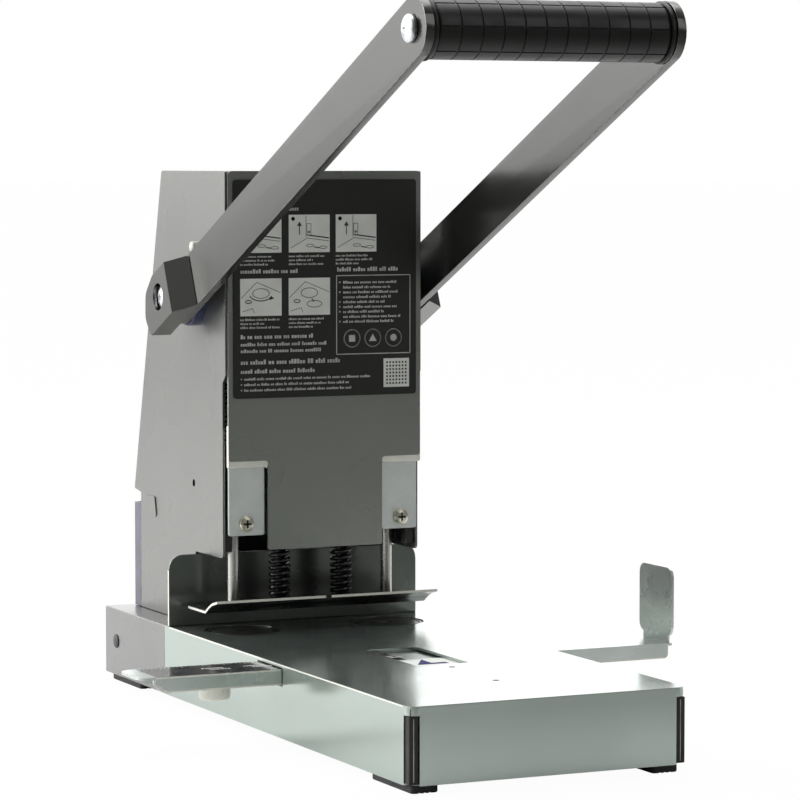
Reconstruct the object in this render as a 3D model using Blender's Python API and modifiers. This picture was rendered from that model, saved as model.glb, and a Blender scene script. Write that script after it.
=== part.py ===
"""Heavy-duty two-hole lever punch, built as separate pieces on eight moving bodies.

Metres, +Z up. X = 0 is the plane of symmetry, the stop plate's front face is at Y = 0 in the
design frame, the front of the punch faces -Y and the surface it stands on is Z = 0. The whole
model hangs from one empty that centres its footprint on the origin.
"""

import math

import bmesh
import bpy
from mathutils import Matrix, Vector

GAP = 0.0003            # between pieces that touch
SLIDE_GAP = 0.0004      # between pieces that slide on each other
LAP = 0.00005           # set-in of a joined sheet, so that no two faces lie in one plane
PAST = 0.001            # how far a cutting solid stands past what it cuts
SHEET_EDGE = 0.0002     # rounding of a cut sheet's edges
FOLD_EDGE = 0.0003      # rounding of a folded or thicker piece's edges
BASE_EDGE = 0.0004
CAST_EDGE = 0.0005

# ---- base ----
FOOT_H = 0.0035
FOOT_W = 0.0125
FOOT_LENGTH = 0.040
FOOT_INSET = 0.0025
FOOT_CORNER_R = 0.0020
BASE_W = 0.130
BASE_H = 0.033
BASE_FRONT = 0.2685     # front edge ahead of the stop plate
BASE_REAR = 0.0875      # rear edge behind the stop plate
BASE_T = 0.0012
SEAM_Y = 0.0060         # the front cover ends here and the rear shell starts
CORNER_NOTCH = 0.0050
CORNER_BAND = 0.0040
COVER_CORNER_R = 0.0045
BASE_TOP = FOOT_H + BASE_H
HALF_BASE = BASE_W / 2
INNER_HALF = HALF_BASE - BASE_T

# ---- punching line ----
HOLE_SPACING = 0.080
CUTTER_X = HOLE_SPACING / 2
CUTTER_Y = -0.0194
CUTTER_R = 0.00275
CUTTER_BORE_R = 0.0019
CUTTER_BEVEL = 0.0015   # height of the ground edge at the tip
CUTTER_EDGE = 0.0002    # width of the cutting edge
CUTTER_RISE = 0.0020    # above the crossbar
BOARD_R = 0.0176
BOARD_T = 0.0035
BOARD_CHAMFER = 0.0004
BOARD_INSET = 0.0025    # centre of a punch board, inside the cutter's own line
BOARD_X = CUTTER_X - BOARD_INSET
BOARD_Y = -0.0253
BOARD_SINK = 0.0004     # board's top below the cover's top
BOARD_PLATE_T = 0.0020
BOARD_PLATE_MARGIN = 0.0120
TIP_OVER_BOARD = 0.0005
CLAMP_W = 0.0180
CLAMP_SHIFT = 0.0005    # middle of a clamp plate inside the cutter's line
CLAMP_INNER = CUTTER_X - CLAMP_SHIFT - CLAMP_W / 2
CLAMP_OUTER = CLAMP_INNER + CLAMP_W

# ---- window, slit and screw holes in the cover ----
WINDOW_W = 0.0255
WINDOW_FRONT = -0.166
WINDOW_BACK = -0.111
WINDOW_CORNER_R = 0.0015
SLIT = (0.0230, 0.0030)
SLIT_CORNER_R = 0.0007
SLIT_Y = -0.0395
COVER_HOLES_Y = (-0.1750, -0.2180)
COVER_HOLE_R = 0.0016

# ---- tower ----
TOWER_W = 0.101
TOWER_H = 0.217
TOWER_FRONT = -0.0378   # front face of the panel
TOWER_TOP_BACK = 0.0450
TOWER_FOOT_BACK = 0.0840
SLOPE_END = 0.0587      # height where the sloping back stops
BRACKET_H = 0.0520
BRACKET_FLANGE = 0.0087
SHEET_T = 0.0012
THROAT_ROOF = 0.0353    # underside of the overhanging side plates
SIDE_RELIEF = 0.0035
SIDE_RELIEF_TOP = 0.118
PANEL_W = 0.0990
TONGUE_MARGIN = 0.0010  # tongue's edge to a clamp plate
TONGUE_W = 2 * (CLAMP_INNER - TONGUE_MARGIN)
TONGUE_END = 0.0391
PANEL_NOTCH_TOP = 0.0812
PANEL_CORNER_R = 0.0020
SHEET_CORNER_R = 0.0010
NOTCH_CORNER_R = 0.0015
LABEL_W = 0.0940
LABEL_LOW = 0.1107
LABEL_HIGH = 0.2130
LABEL_T = 0.0004
STOP_T = 0.0015
STOP_H = 0.0342
STOP_CORNER_R = 0.0070
SIDE_INNER = TOWER_W / 2 - SHEET_T
SIDE_HOLE = (0.0040, 0.0680)
SIDE_HOLE_R = 0.0018

# ---- lever and its drive ----
PIVOT_BELOW_TOP = 0.0595
PIVOT_Y = 0.0
ARM_RISE = math.radians(24.3)
ARM_LENGTH = 0.286      # pivot to grip
ARM_W = 0.026
ARM_T = 0.004
ARM_END_R = 0.0135
LEVER_TRAVEL = math.radians(48.0)
BUSHING_R = 0.014
BUSHING_L = 0.0052
BUSHING_CHAMFER = 0.0006
SHAFT_R = 0.008
SHAFT_STUB_R = 0.005
HUB_T = 0.0097
HUB_RECESS_R = 0.0065
HUB_RECESS = 0.0070
HUB_SLANT = 0.0080
HUB_END = 0.022         # towards the grip
HUB_OUTLINE = (         # along the arm, above its centre line, corner radius
    (HUB_END, -0.0135, 0), (HUB_END, 0.0120, 0.001), (-0.0030, 0.0120, 0.003),
    (-0.0145, 0.0075, 0.006), (-0.0195, -0.0030, 0.006), (-0.0165, -0.0135, 0.002),
)
HUB_WEDGE_REACH = 0.020
ARM_END_ROUND = 0.98    # share of the arm's half width that its ends are rounded by
GRIP_R = 0.0125
GRIP_FLANGE_R = 0.0132
GRIP_CORE_R = 0.0070
GRIP_LIP = 0.0030       # a flange's distance over its flat from the sleeve's end
GRIP_CHAMFER = 0.0010
BOLT_R = 0.0040
BOLT_HEAD_R = 0.0060
BOLT_HEAD_T = 0.0032
BOLT_L = 0.0080         # grip bolt inside the arm
HUB_BOLT_R = 0.0030
HUB_BOLT_HEAD_R = 0.0054
HUB_BOLT_HEAD_T = 0.0034
HUB_BOLT_CHAMFER = 0.0008
HUB_BOLT_L = 0.0030     # hub bolt inside the shaft
HUB_BOLT_HOLE_L = 0.0040
GEAR_MODULE = 0.0015
GEAR_TEETH = 19
GEAR_PRESSURE = math.radians(20.0)
GEAR_BACKLASH = 0.0003
GEAR_FACE = 0.012
GEAR_TO_CUTTER = 0.006  # outer face of each pinion to the cutter's line
GEAR_X = CUTTER_X - GEAR_TO_CUTTER - GEAR_FACE
RACK_BACK = 0.0110      # depth of a rack behind its pitch line
RACK_OVER = 0.0140      # rack above the pivot when the lever is down

# ---- punch head ----
HEAD_LOW = 0.0460
HEAD_H = 0.0220
HEAD_FRONT = -0.0337
HEAD_BACK = -0.0050
HEAD_BEYOND = 0.0040    # crossbar past the cutter's line
HEAD_HALF = CUTTER_X + HEAD_BEYOND
CLAMP_T = 0.0015
CLAMP_H = 0.0500
CLAMP_SCREW_UP = 0.0056
SCREW_R = 0.0020
SCREW_L = 0.0090
SCREW_HEAD_R = 0.0036
SCREW_HEAD_T = 0.0022
BLOCK_D = 0.0126
BLOCK_H = 0.0180
BLOCK_SINK = 0.0020     # block's top below the crossbar's
RAIL_D = 0.0050
RAIL_MARGIN = 0.0010    # rail's lip to the crossbar's end
RAIL_WEB = 0.0010
RAIL_LOW = 0.0380
RAIL_HIGH = 0.0900

# ---- pressure plate and springs ----
THROAT = 0.0090         # pressure plate above the cover at rest
PLATE_W = 0.114
PLATE_T = 0.0012
PLATE_BACK = -0.0045
PLATE_BEND = -0.0265
PLATE_LIP = ((-0.0315, 0.0030), (-0.0350, 0.0046), (-0.0415, 0.0062))
PLATE_NOTCH = (0.0025, 0.0030)
PIN_TO_GEAR = 0.0060    # pin's centre to the inner face of a pinion
PIN_X = GEAR_X - PIN_TO_GEAR
PIN_R = 0.0025
PIN_HEAD_R = 0.0040
PIN_HEAD_T = 0.0025
PRESS_COIL_R = 0.0054
PRESS_WIRE_R = 0.00075
PRESS_PITCH = 0.0036
RETURN_Y = -0.0080
RETURN_COIL_R = 0.0038
RETURN_WIRE_R = 0.00055
RETURN_TURNS = 8
SPRING_BRACKET_UP = 0.117
SPRING_BRACKET_T = 0.0015
SPRING_BRACKET_DROP = 0.0080

# ---- paper guide ----
GUIDE_Y = -0.1237
GUIDE_W = 0.0272
GUIDE_T = 0.0012
GUIDE_DROP = 0.0020     # bar's top below the cover's top
GUIDE_DEPTH = 0.0070
GUIDE_END = 0.132       # both ends from the plane of symmetry
GUIDE_TIP = 0.014
GUIDE_TIP_R = 0.0060
GUIDE_FLANGE_BACK = 0.0020
GUIDE_FLANGE_TIP_H = 0.0030
FLAG_W = 0.0306
FLAG_H = 0.0330
FLAG_NECK_W = 0.0230
FLAG_NECK_H = 0.0010
FLAG_CORNER_R = 0.0045
KNOB_X = -0.0917
KNOB_R = 0.0070
KNOB_LOW = 0.0155
KNOB_CHAMFER = 0.0012
KNOB_NECK = 0.5         # neck's share of the knob's radius
POINTER_W = 0.028
POINTER_T = 0.0008
POINTER_LAP = 0.0040    # plate past the window's front edge

# ---- chip tray ----
TRAY_FRONT = 0.0090
TRAY_DEPTH = 0.0170
TRAY_T = 0.0015
TRAY_HOLE = (0.0440, 0.0130, 0.0660)    # half width, front and back of the chip opening
PULL_HALF = 0.0160
PULL_LOW = 0.0015       # finger slot above the tray's wall
PULL_H = 0.0060

PIVOT_Z = BASE_TOP + TOWER_H - PIVOT_BELOW_TOP
PITCH_R = GEAR_MODULE * GEAR_TEETH / 2
STROKE = PITCH_R * LEVER_TRAVEL
ARM_INNER = TOWER_W / 2 + GAP + BUSHING_L
ARM_OUTER = ARM_INNER + ARM_T
HUB_FACE = ARM_OUTER + GAP + HUB_T
GRIP_Y = PIVOT_Y - ARM_LENGTH * math.cos(ARM_RISE)
GRIP_Z = PIVOT_Z + ARM_LENGTH * math.sin(ARM_RISE)
FOOTPRINT_MIDDLE_Y = (GRIP_Y - ARM_END_R + BASE_REAR) / 2
SIDES = ((-1, "left"), (1, "right"))

BODY_ORIGINS = {
    "frame": (0, 0, 0),
    "lever": (0, PIVOT_Y, PIVOT_Z),
    "punch_head": (0, CUTTER_Y, BASE_TOP + HEAD_LOW),
    "pressure_plate": (0, CUTTER_Y, BASE_TOP + THROAT),
    "paper_guide": (0, GUIDE_Y, BASE_TOP - GUIDE_DROP),
    "chip_tray": (0, TRAY_FRONT, FOOT_H),
    "board_left": (-BOARD_X, BOARD_Y, BASE_TOP - BOARD_SINK),
    "board_right": (BOARD_X, BOARD_Y, BASE_TOP - BOARD_SINK),
}

# finish: colour, roughness, metallic
FINISHES = {
    "grey_enamel": ((0.115, 0.120, 0.112), 0.38, 0.55),
    "light_enamel": ((0.52, 0.60, 0.55), 0.32, 0.60),
    "arm_enamel": ((0.180, 0.180, 0.175), 0.35, 0.60),
    "black_metal": ((0.035, 0.035, 0.035), 0.30, 0.60),
    "zinc": ((0.42, 0.44, 0.47), 0.35, 1.0),
    "steel": ((0.55, 0.54, 0.52), 0.22, 1.0),
    "blue_steel": ((0.22, 0.23, 0.38), 0.35, 0.9),
    "black_plastic": ((0.020, 0.020, 0.020), 0.50, 0.0),
    "rubber": ((0.018, 0.018, 0.018), 0.65, 0.0),
    "cream_plastic": ((0.76, 0.74, 0.66), 0.40, 0.0),
    "label": ((0.025, 0.025, 0.022), 0.55, 0.0),
    "brass": ((0.60, 0.45, 0.20), 0.35, 1.0),
}


def clear_scene():
    for obj in list(bpy.data.objects):
        bpy.data.objects.remove(obj, do_unlink=True)


def new_collection(name):
    collection = bpy.data.collections.new(name)
    bpy.context.scene.collection.children.link(collection)
    return collection


def new_empty(name, location, parent=None):
    empty = bpy.data.objects.new(name, None)
    empty.location = location
    empty.parent = parent
    PARTS.objects.link(empty)
    return empty


# ---- outlines ----

def fillet(corners, steps=4):
    """Outline through (x, y, radius) corners, each turned into an arc of that radius."""
    points = []
    count = len(corners)
    for i, (x, y, radius) in enumerate(corners):
        here = Vector((x, y))
        if radius == 0:
            points.append((x, y))
            continue
        before = (Vector(corners[i - 1][:2]) - here).normalized()
        after = (Vector(corners[(i + 1) % count][:2]) - here).normalized()
        half_angle = before.angle(after) / 2
        centre = here + (before + after).normalized() * (radius / math.sin(half_angle))
        start = here + before * (radius / math.tan(half_angle)) - centre
        sweep = start.angle_signed(here + after * (radius / math.tan(half_angle)) - centre)
        for k in range(steps + 1):
            turned = Matrix.Rotation(-sweep * k / steps, 2) @ start
            points.append(tuple(centre + turned))
    return points


def circle(x, y, radius, steps=24):
    angles = [2 * math.pi * k / steps for k in range(steps)]
    return [(x + radius * math.cos(a), y + radius * math.sin(a)) for a in angles]


def rectangle(x0, y0, x1, y1, radius=0.0, steps=4):
    corners = [(x0, y0, radius), (x1, y0, radius), (x1, y1, radius), (x0, y1, radius)]
    return fillet(corners, steps)


def folded(path, thickness):
    """Outline of a bent sheet whose one face follows the path, with the sheet on its left."""
    offset = []
    for i, point in enumerate(path):
        here = Vector(point)
        into = (here - Vector(path[i - 1])).normalized() if i > 0 else None
        out = (Vector(path[i + 1]) - here).normalized() if i < len(path) - 1 else None
        into = into or out
        out = out or into
        normals = [Vector((-d.y, d.x)) for d in (into, out)]
        mitre = (normals[0] + normals[1]).normalized()
        offset.append(tuple(here + mitre * (thickness / mitre.dot(normals[0]))))
    return list(path) + offset[::-1]


def along_arm(u, v):
    """(Y, Z) of a point u towards the grip and v above the arm's centre line."""
    cos, sin = math.cos(ARM_RISE), math.sin(ARM_RISE)
    return (PIVOT_Y - u * cos + v * sin, PIVOT_Z + u * sin + v * cos)


# ---- meshes, in the design frame ----

AXES = {
    "X": Matrix(((0, 0, 1), (1, 0, 0), (0, 1, 0))).to_4x4(),
    "Y": Matrix(((1, 0, 0), (0, 0, -1), (0, 1, 0))).to_4x4(),
    "Z": Matrix.Identity(4),
}
AXIS_VECTORS = {"X": Vector((1, 0, 0)), "Y": Vector((0, 1, 0)), "Z": Vector((0, 0, 1))}


def evaluated_mesh(obj, matrix):
    """Mesh of an object as modelled, welded and moved, and the object removed."""
    bpy.context.scene.collection.objects.link(obj)
    bpy.context.view_layer.update()
    depsgraph = bpy.context.evaluated_depsgraph_get()
    mesh = bpy.data.meshes.new_from_object(obj.evaluated_get(depsgraph))
    bpy.data.objects.remove(obj, do_unlink=True)
    bm = bmesh.new()
    bm.from_mesh(mesh)
    bmesh.ops.remove_doubles(bm, verts=bm.verts, dist=1e-6)
    bm.to_mesh(mesh)
    bm.free()
    mesh.transform(matrix)
    return mesh


def prism(outline, axis, low, high, holes=()):
    """Flat outline pushed from low to high along an axis; the outline is in (Y,Z), (X,Z) or (X,Y)."""
    curve = bpy.data.curves.new("outline", "CURVE")
    curve.dimensions = "2D"
    curve.fill_mode = "BOTH"
    curve.extrude = abs(high - low) / 2
    for loop in (outline, *holes):
        spline = curve.splines.new("POLY")
        spline.points.add(len(loop) - 1)
        for point, (x, y) in zip(spline.points, loop):
            point.co = (x, y, 0, 1)
        spline.use_cyclic_u = True
    middle = Matrix.Translation(AXIS_VECTORS[axis] * ((low + high) / 2))
    return evaluated_mesh(bpy.data.objects.new("outline", curve), middle @ AXES[axis])


def box(low, high):
    bm = bmesh.new()
    bmesh.ops.create_cube(bm, size=1)
    size = Vector(high) - Vector(low)
    bmesh.ops.scale(bm, vec=[abs(s) for s in size], verts=bm.verts)
    bmesh.ops.translate(bm, vec=(Vector(low) + Vector(high)) / 2, verts=bm.verts)
    return finished(bm)


def rod(axis, centre, radius, low, high, steps=24):
    """Cylinder along an axis through centre, from low to high on that axis."""
    bm = bmesh.new()
    bmesh.ops.create_cone(bm, cap_ends=True, segments=steps, radius1=radius, radius2=radius,
                          depth=abs(high - low))
    place = Vector(centre)
    place["XYZ".index(axis)] = (low + high) / 2
    bm.transform(Matrix.Translation(place) @ AXES[axis])
    return finished(bm)


def turned(profile, axis, centre, steps=24, closed=False, flip=False):
    """Profile of (radius, height) down its outer side, turned about an axis through centre."""
    mesh = bpy.data.meshes.new("profile")
    edges = [(i, i + 1) for i in range(len(profile) - 1)]
    if closed:
        edges.append((len(profile) - 1, 0))
    mesh.from_pydata([(r, 0, h) for r, h in profile], edges, [])
    obj = bpy.data.objects.new("profile", mesh)
    screw = obj.modifiers.new("turn", "SCREW")
    screw.steps = steps
    screw.render_steps = steps
    screw.use_merge_vertices = True
    screw.merge_threshold = 1e-6
    swing = Matrix.Rotation(math.pi, 4, "X") if flip else Matrix.Identity(4)
    return evaluated_mesh(obj, Matrix.Translation(centre) @ AXES[axis] @ swing)


def coil(centre, radius, wire_r, low, high, turns, per_turn=8):
    """Wound spring about a vertical line, its first and last turns closed up."""
    curve = bpy.data.curves.new("coil", "CURVE")
    curve.dimensions = "3D"
    curve.bevel_depth = wire_r
    curve.bevel_resolution = 2
    curve.use_fill_caps = True
    count = turns * per_turn + 1
    spline = curve.splines.new("POLY")
    spline.points.add(count - 1)
    end_turn = per_turn * wire_r * 2.2 / (high - low)
    for k, point in enumerate(spline.points):
        angle = 2 * math.pi * k / per_turn
        t = k / (count - 1)
        ease = t + (end_turn / per_turn - 0.5 / turns) * math.sin(2 * math.pi * t) / math.pi
        z = low + wire_r + (high - low - 2 * wire_r) * ease
        point.co = (centre[0] + radius * math.cos(angle), centre[1] + radius * math.sin(angle), z, 1)
    return evaluated_mesh(bpy.data.objects.new("coil", curve), Matrix.Identity(4))


def finished(bm):
    mesh = bpy.data.meshes.new("solid")
    bm.to_mesh(mesh)
    bm.free()
    return mesh


# ---- objects ----

def finish_material(name, finish):
    colour, roughness, metallic = FINISHES[finish]
    material = bpy.data.materials.new(name + "_finish")
    material.use_nodes = True
    shader = material.node_tree.nodes["Principled BSDF"]
    shader.inputs["Base Color"].default_value = (*colour, 1)
    shader.inputs["Roughness"].default_value = roughness
    shader.inputs["Metallic"].default_value = metallic
    return material


def node(name, body, finish, mesh, soften=0.0, steps=1):
    """One named piece, on its body's own empty."""
    mesh.name = name
    mesh.transform(Matrix.Translation(-Vector(BODY_ORIGINS[body])))
    mesh.materials.append(finish_material(name, finish))
    mesh.shade_smooth()
    mesh.set_sharp_from_angle(angle=math.radians(35))
    obj = bpy.data.objects.new(name, mesh)
    obj.parent = BODIES[body]
    PARTS.objects.link(obj)
    if soften:
        bevel = obj.modifiers.new("soften", "BEVEL")
        bevel.width = soften
        bevel.segments = steps
        bevel.limit_method = "ANGLE"
        bevel.angle_limit = math.radians(40)
        bevel.miter_outer = "MITER_ARC"
    return obj


def combine(obj, solid, operation):
    """Boolean of an object with a hidden helper solid, ahead of its bevel."""
    helper = bpy.data.objects.new(obj.name + "_tool", solid)
    helper.parent = BODIES["frame"]
    helper.hide_render = True
    helper.display_type = "WIRE"
    TOOLS.objects.link(helper)
    modifier = obj.modifiers.new("combine", "BOOLEAN")
    modifier.operation = operation
    modifier.solver = "EXACT"
    modifier.object = helper
    bevels = [i for i, m in enumerate(obj.modifiers) if m.type == "BEVEL"]
    if bevels:
        obj.modifiers.move(len(obj.modifiers) - 1, bevels[0])
    return obj


def cut(obj, *solids):
    for solid in solids:
        combine(obj, solid, "DIFFERENCE")
    return obj


def unite(obj, *solids):
    for solid in solids:
        combine(obj, solid, "UNION")
    return obj


def span(side, near, far):
    """Low and high X of something between near and far from the plane of symmetry."""
    return (near, far) if side > 0 else (-far, -near)


# ---- base ----

def build_base():
    low = FOOT_H
    shell_path = [(HALF_BASE, low), (HALF_BASE, BASE_TOP), (-HALF_BASE, BASE_TOP), (-HALF_BASE, low)]
    shell = folded(shell_path, BASE_T)
    cover = node("base_cover", "frame", "light_enamel",
                 prism(shell, "Y", -BASE_FRONT, SEAM_Y - GAP), soften=BASE_EDGE)
    unite(cover, box((-HALF_BASE, -BASE_FRONT, low), (HALF_BASE, -BASE_FRONT + BASE_T, BASE_TOP)))
    for side, _ in SIDES:
        corner = (side * HALF_BASE, -BASE_FRONT)
        past = (corner[0] + side * PAST, corner[1] - PAST)
        middle = Vector((corner[0] - side * COVER_CORNER_R, corner[1] + COVER_CORNER_R))
        arc = [middle + COVER_CORNER_R * Vector((side * math.sin(a), -math.cos(a)))
               for a in (math.pi / 2 * k / 6 for k in range(7))]
        outline = [(past[0], past[1]), (arc[0].x, past[1]), *(tuple(p) for p in arc), (past[0], arc[-1].y)]
        cut(cover, prism(outline, "Z", low - PAST, BASE_TOP + PAST))
    through = (BASE_TOP - 3 * BASE_T, BASE_TOP + BASE_T)
    half_window = WINDOW_W / 2
    openings = [
        prism(rectangle(-half_window, WINDOW_FRONT, half_window, WINDOW_BACK, WINDOW_CORNER_R),
              "Z", *through),
        prism(rectangle(-SLIT[0] / 2, SLIT_Y - SLIT[1] / 2, SLIT[0] / 2, SLIT_Y + SLIT[1] / 2,
                        SLIT_CORNER_R), "Z", *through),
    ]
    for side, _ in SIDES:
        openings.append(rod("Z", (side * BOARD_X, BOARD_Y, 0), BOARD_R + SLIDE_GAP, *through, steps=48))
        x = span(side, HALF_BASE - CORNER_NOTCH, HALF_BASE + 2 * BASE_T)
        openings.append(box((x[0], -BASE_FRONT - BASE_T, low - BASE_T),
                            (x[1], -BASE_FRONT + CORNER_NOTCH, BASE_TOP - CORNER_BAND)))
    for y in COVER_HOLES_Y:
        openings.append(rod("Z", (0, y, 0), COVER_HOLE_R, *through, steps=12))
    slot_half = GUIDE_W / 2 + 2 * SLIDE_GAP
    slot_low = BASE_TOP - GUIDE_DROP - GUIDE_DEPTH - 2 * SLIDE_GAP
    openings.append(box((-BASE_W, GUIDE_Y - slot_half, slot_low),
                        (BASE_W, GUIDE_Y + slot_half, BASE_TOP - BASE_T - GAP)))
    cut(cover, *openings)

    rear = node("base_rear_shell", "frame", "light_enamel",
                prism(shell, "Y", SEAM_Y, BASE_REAR), soften=BASE_EDGE)
    cut(rear, box((-TRAY_HOLE[0], TRAY_HOLE[1], through[0]), (TRAY_HOLE[0], TRAY_HOLE[2], through[1])))

    plate_half = INNER_HALF - GAP
    bottom = rectangle(-plate_half, -BASE_FRONT + BASE_T + GAP, plate_half, BASE_REAR - BASE_T,
                       CORNER_NOTCH)
    node("bottom_plate", "frame", "grey_enamel", prism(bottom, "Z", low, low + BASE_T))

    outer = HALF_BASE - FOOT_INSET
    for side, word in SIDES:
        near, far = span(side, outer - FOOT_W, outer)
        for end, y in (("front", -BASE_FRONT + FOOT_INSET), ("rear", BASE_REAR - FOOT_INSET - FOOT_LENGTH)):
            outline = rectangle(near, y, far, y + FOOT_LENGTH, FOOT_CORNER_R)
            node(f"foot_{end}_{word}", "frame", "rubber", prism(outline, "Z", 0, FOOT_H - GAP))


def build_boards():
    top = BASE_TOP - BOARD_SINK
    under = top - BOARD_T - GAP
    half = INNER_HALF - GAP
    node("board_plate", "frame", "zinc",
         box((-half, BOARD_Y - BOARD_R - BOARD_PLATE_MARGIN, under - BOARD_PLATE_T),
             (half, SEAM_Y - 2 * GAP, under)))
    profile = [(0, top), (BOARD_R - BOARD_CHAMFER, top), (BOARD_R, top - BOARD_CHAMFER),
               (BOARD_R, top - BOARD_T),
               (0, top - BOARD_T)]
    for side, word in SIDES:
        node("punch_board_" + word, "board_" + word, "black_plastic",
             turned(profile, "Z", (side * BOARD_X, BOARD_Y, 0), steps=40))


# ---- tower ----

def build_tower():
    bottom = BASE_TOP + GAP
    top = BASE_TOP + TOWER_H
    cover_low = top - SHEET_T
    front = TOWER_FRONT + SHEET_T + GAP
    relief = front + SIDE_RELIEF
    notch_y = TOWER_FOOT_BACK - BRACKET_FLANGE - GAP
    roof = BASE_TOP + THROAT_ROOF
    relief_top = BASE_TOP + SIDE_RELIEF_TOP
    slope_end = BASE_TOP + SLOPE_END
    foot_front = STOP_T + 2 * GAP
    side_outline = fillet([
        (foot_front, bottom, 0), (foot_front, roof, SHEET_CORNER_R), (relief, roof, PANEL_CORNER_R),
        (relief, relief_top, 0), (front, relief_top + SIDE_RELIEF, 0),
        (front, top, SHEET_CORNER_R), (TOWER_TOP_BACK, top, PANEL_CORNER_R),
        (TOWER_FOOT_BACK, slope_end, SHEET_CORNER_R),
        (notch_y, slope_end - SHEET_T, SHEET_CORNER_R), (notch_y, bottom, 0)])
    side_holes = [circle(PIVOT_Y, PIVOT_Z, SHAFT_R + GAP),
                  circle(SIDE_HOLE[0], BASE_TOP + SIDE_HOLE[1], SIDE_HOLE_R, steps=12)]
    for side, word in SIDES:
        near, far = span(side, SIDE_INNER, TOWER_W / 2)
        node("side_plate_" + word, "frame", "grey_enamel",
             prism(side_outline, "X", near, far, side_holes), soften=SHEET_EDGE)
        ring = [(BUSHING_R - BUSHING_CHAMFER, BUSHING_L), (BUSHING_R, BUSHING_L - BUSHING_CHAMFER),
                (BUSHING_R, 0), (SHAFT_R + GAP, 0), (SHAFT_R + GAP, BUSHING_L)]
        centre = (side * (TOWER_W / 2 + GAP / 2), PIVOT_Y, PIVOT_Z)
        node("bushing_" + word, "frame", "blue_steel",
             turned(ring, "X", centre, steps=32, closed=True, flip=side < 0))

    half_panel = PANEL_W / 2
    half_tongue = TONGUE_W / 2
    notch_top = BASE_TOP + PANEL_NOTCH_TOP
    tongue_end = BASE_TOP + TONGUE_END
    panel = fillet([
        (-half_panel, notch_top, NOTCH_CORNER_R), (-half_tongue, notch_top, NOTCH_CORNER_R),
        (-half_tongue, tongue_end, SHEET_CORNER_R), (half_tongue, tongue_end, SHEET_CORNER_R),
        (half_tongue, notch_top, NOTCH_CORNER_R), (half_panel, notch_top, NOTCH_CORNER_R),
        (half_panel, top, PANEL_CORNER_R), (-half_panel, top, PANEL_CORNER_R)])
    node("front_panel", "frame", "grey_enamel",
         prism(panel, "Y", TOWER_FRONT, TOWER_FRONT + SHEET_T), soften=SHEET_EDGE)
    label_back = TOWER_FRONT - GAP
    label = rectangle(-LABEL_W / 2, BASE_TOP + LABEL_LOW, LABEL_W / 2, BASE_TOP + LABEL_HIGH,
                      NOTCH_CORNER_R)
    node("label_plate", "frame", "label", prism(label, "Y", label_back - LABEL_T, label_back))

    inner_half = SIDE_INNER - GAP
    node("top_cover", "frame", "grey_enamel",
         box((-inner_half, front, cover_low), (inner_half, TOWER_TOP_BACK - PANEL_CORNER_R, top)),
         soften=FOLD_EDGE)
    back_path = [(TOWER_TOP_BACK - GAP, cover_low - 2 * GAP), (TOWER_FOOT_BACK - GAP, slope_end),
                 (notch_y + PANEL_CORNER_R, slope_end)]
    node("rear_cover", "frame", "grey_enamel",
         prism(folded(back_path[::-1], SHEET_T), "X", -inner_half, inner_half))
    flange_y = TOWER_FOOT_BACK - BRACKET_FLANGE
    half = TOWER_W / 2
    bracket_path = [(half, flange_y), (half, TOWER_FOOT_BACK), (-half, TOWER_FOOT_BACK), (-half, flange_y)]
    node("rear_bracket", "frame", "blue_steel",
         prism(folded(bracket_path, SHEET_T), "Z", bottom, BASE_TOP + BRACKET_H), soften=FOLD_EDGE)

    stop = fillet([(-HALF_BASE, bottom, 0), (HALF_BASE, bottom, 0),
                   (HALF_BASE, BASE_TOP + STOP_H, STOP_CORNER_R),
                   (-HALF_BASE, BASE_TOP + STOP_H, STOP_CORNER_R)], steps=6)
    node("stop_plate", "frame", "black_metal", prism(stop, "Y", 0, STOP_T), soften=SHEET_EDGE)

    rail_gap = BLOCK_D / 2 + GAP
    web = SIDE_INNER - GAP
    for side, word in SIDES:
        x = [side * (HEAD_HALF + RAIL_MARGIN), side * (web - RAIL_WEB), side * web]
        front, back = CUTTER_Y - rail_gap, CUTTER_Y + rail_gap
        channel = [(x[0], front - RAIL_D), (x[2], front - RAIL_D), (x[2], back + RAIL_D),
                   (x[0], back + RAIL_D), (x[0], back), (x[1], back), (x[1], front), (x[0], front)]
        node("head_rails_" + word, "frame", "black_metal",
             prism(channel, "Z", BASE_TOP + RAIL_LOW, BASE_TOP + RAIL_HIGH))

    shelf = BASE_TOP + SPRING_BRACKET_UP
    rack_tip = -PITCH_R + GEAR_MODULE
    shelf_back = RETURN_Y + RETURN_COIL_R + SPRING_BRACKET_T
    bracket = [(rack_tip + 2 * GAP, shelf), (shelf_back, shelf), (shelf_back, shelf - SPRING_BRACKET_DROP)]
    node("spring_bracket", "frame", "zinc",
         prism(folded(bracket, SPRING_BRACKET_T), "X", -inner_half, inner_half))


# ---- lever ----

def gear_outline(centre_y, centre_z):
    """Involute pinion in (Y, Z) with one tooth pointing to -Y."""
    base_r = PITCH_R * math.cos(GEAR_PRESSURE)
    tip_r = PITCH_R + GEAR_MODULE
    root_r = PITCH_R - 1.25 * GEAR_MODULE
    half_tooth = (math.pi * GEAR_MODULE - GEAR_BACKLASH) / 4 / PITCH_R
    half_at_base = half_tooth + math.tan(GEAR_PRESSURE) - GEAR_PRESSURE
    flank = [(root_r, half_at_base)]
    for k in range(4):
        r = base_r + (tip_r - base_r) * k / 3
        roll = math.acos(min(1.0, base_r / r))
        flank.append((r, half_at_base - (math.tan(roll) - roll)))
    points = []
    for tooth in range(GEAR_TEETH):
        middle = math.pi + 2 * math.pi * tooth / GEAR_TEETH
        for r, a in flank:
            points.append((r, middle - a))
        for r, a in reversed(flank):
            points.append((r, middle + a))
    return [(centre_y + r * math.cos(a), centre_z + r * math.sin(a)) for r, a in points]


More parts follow.
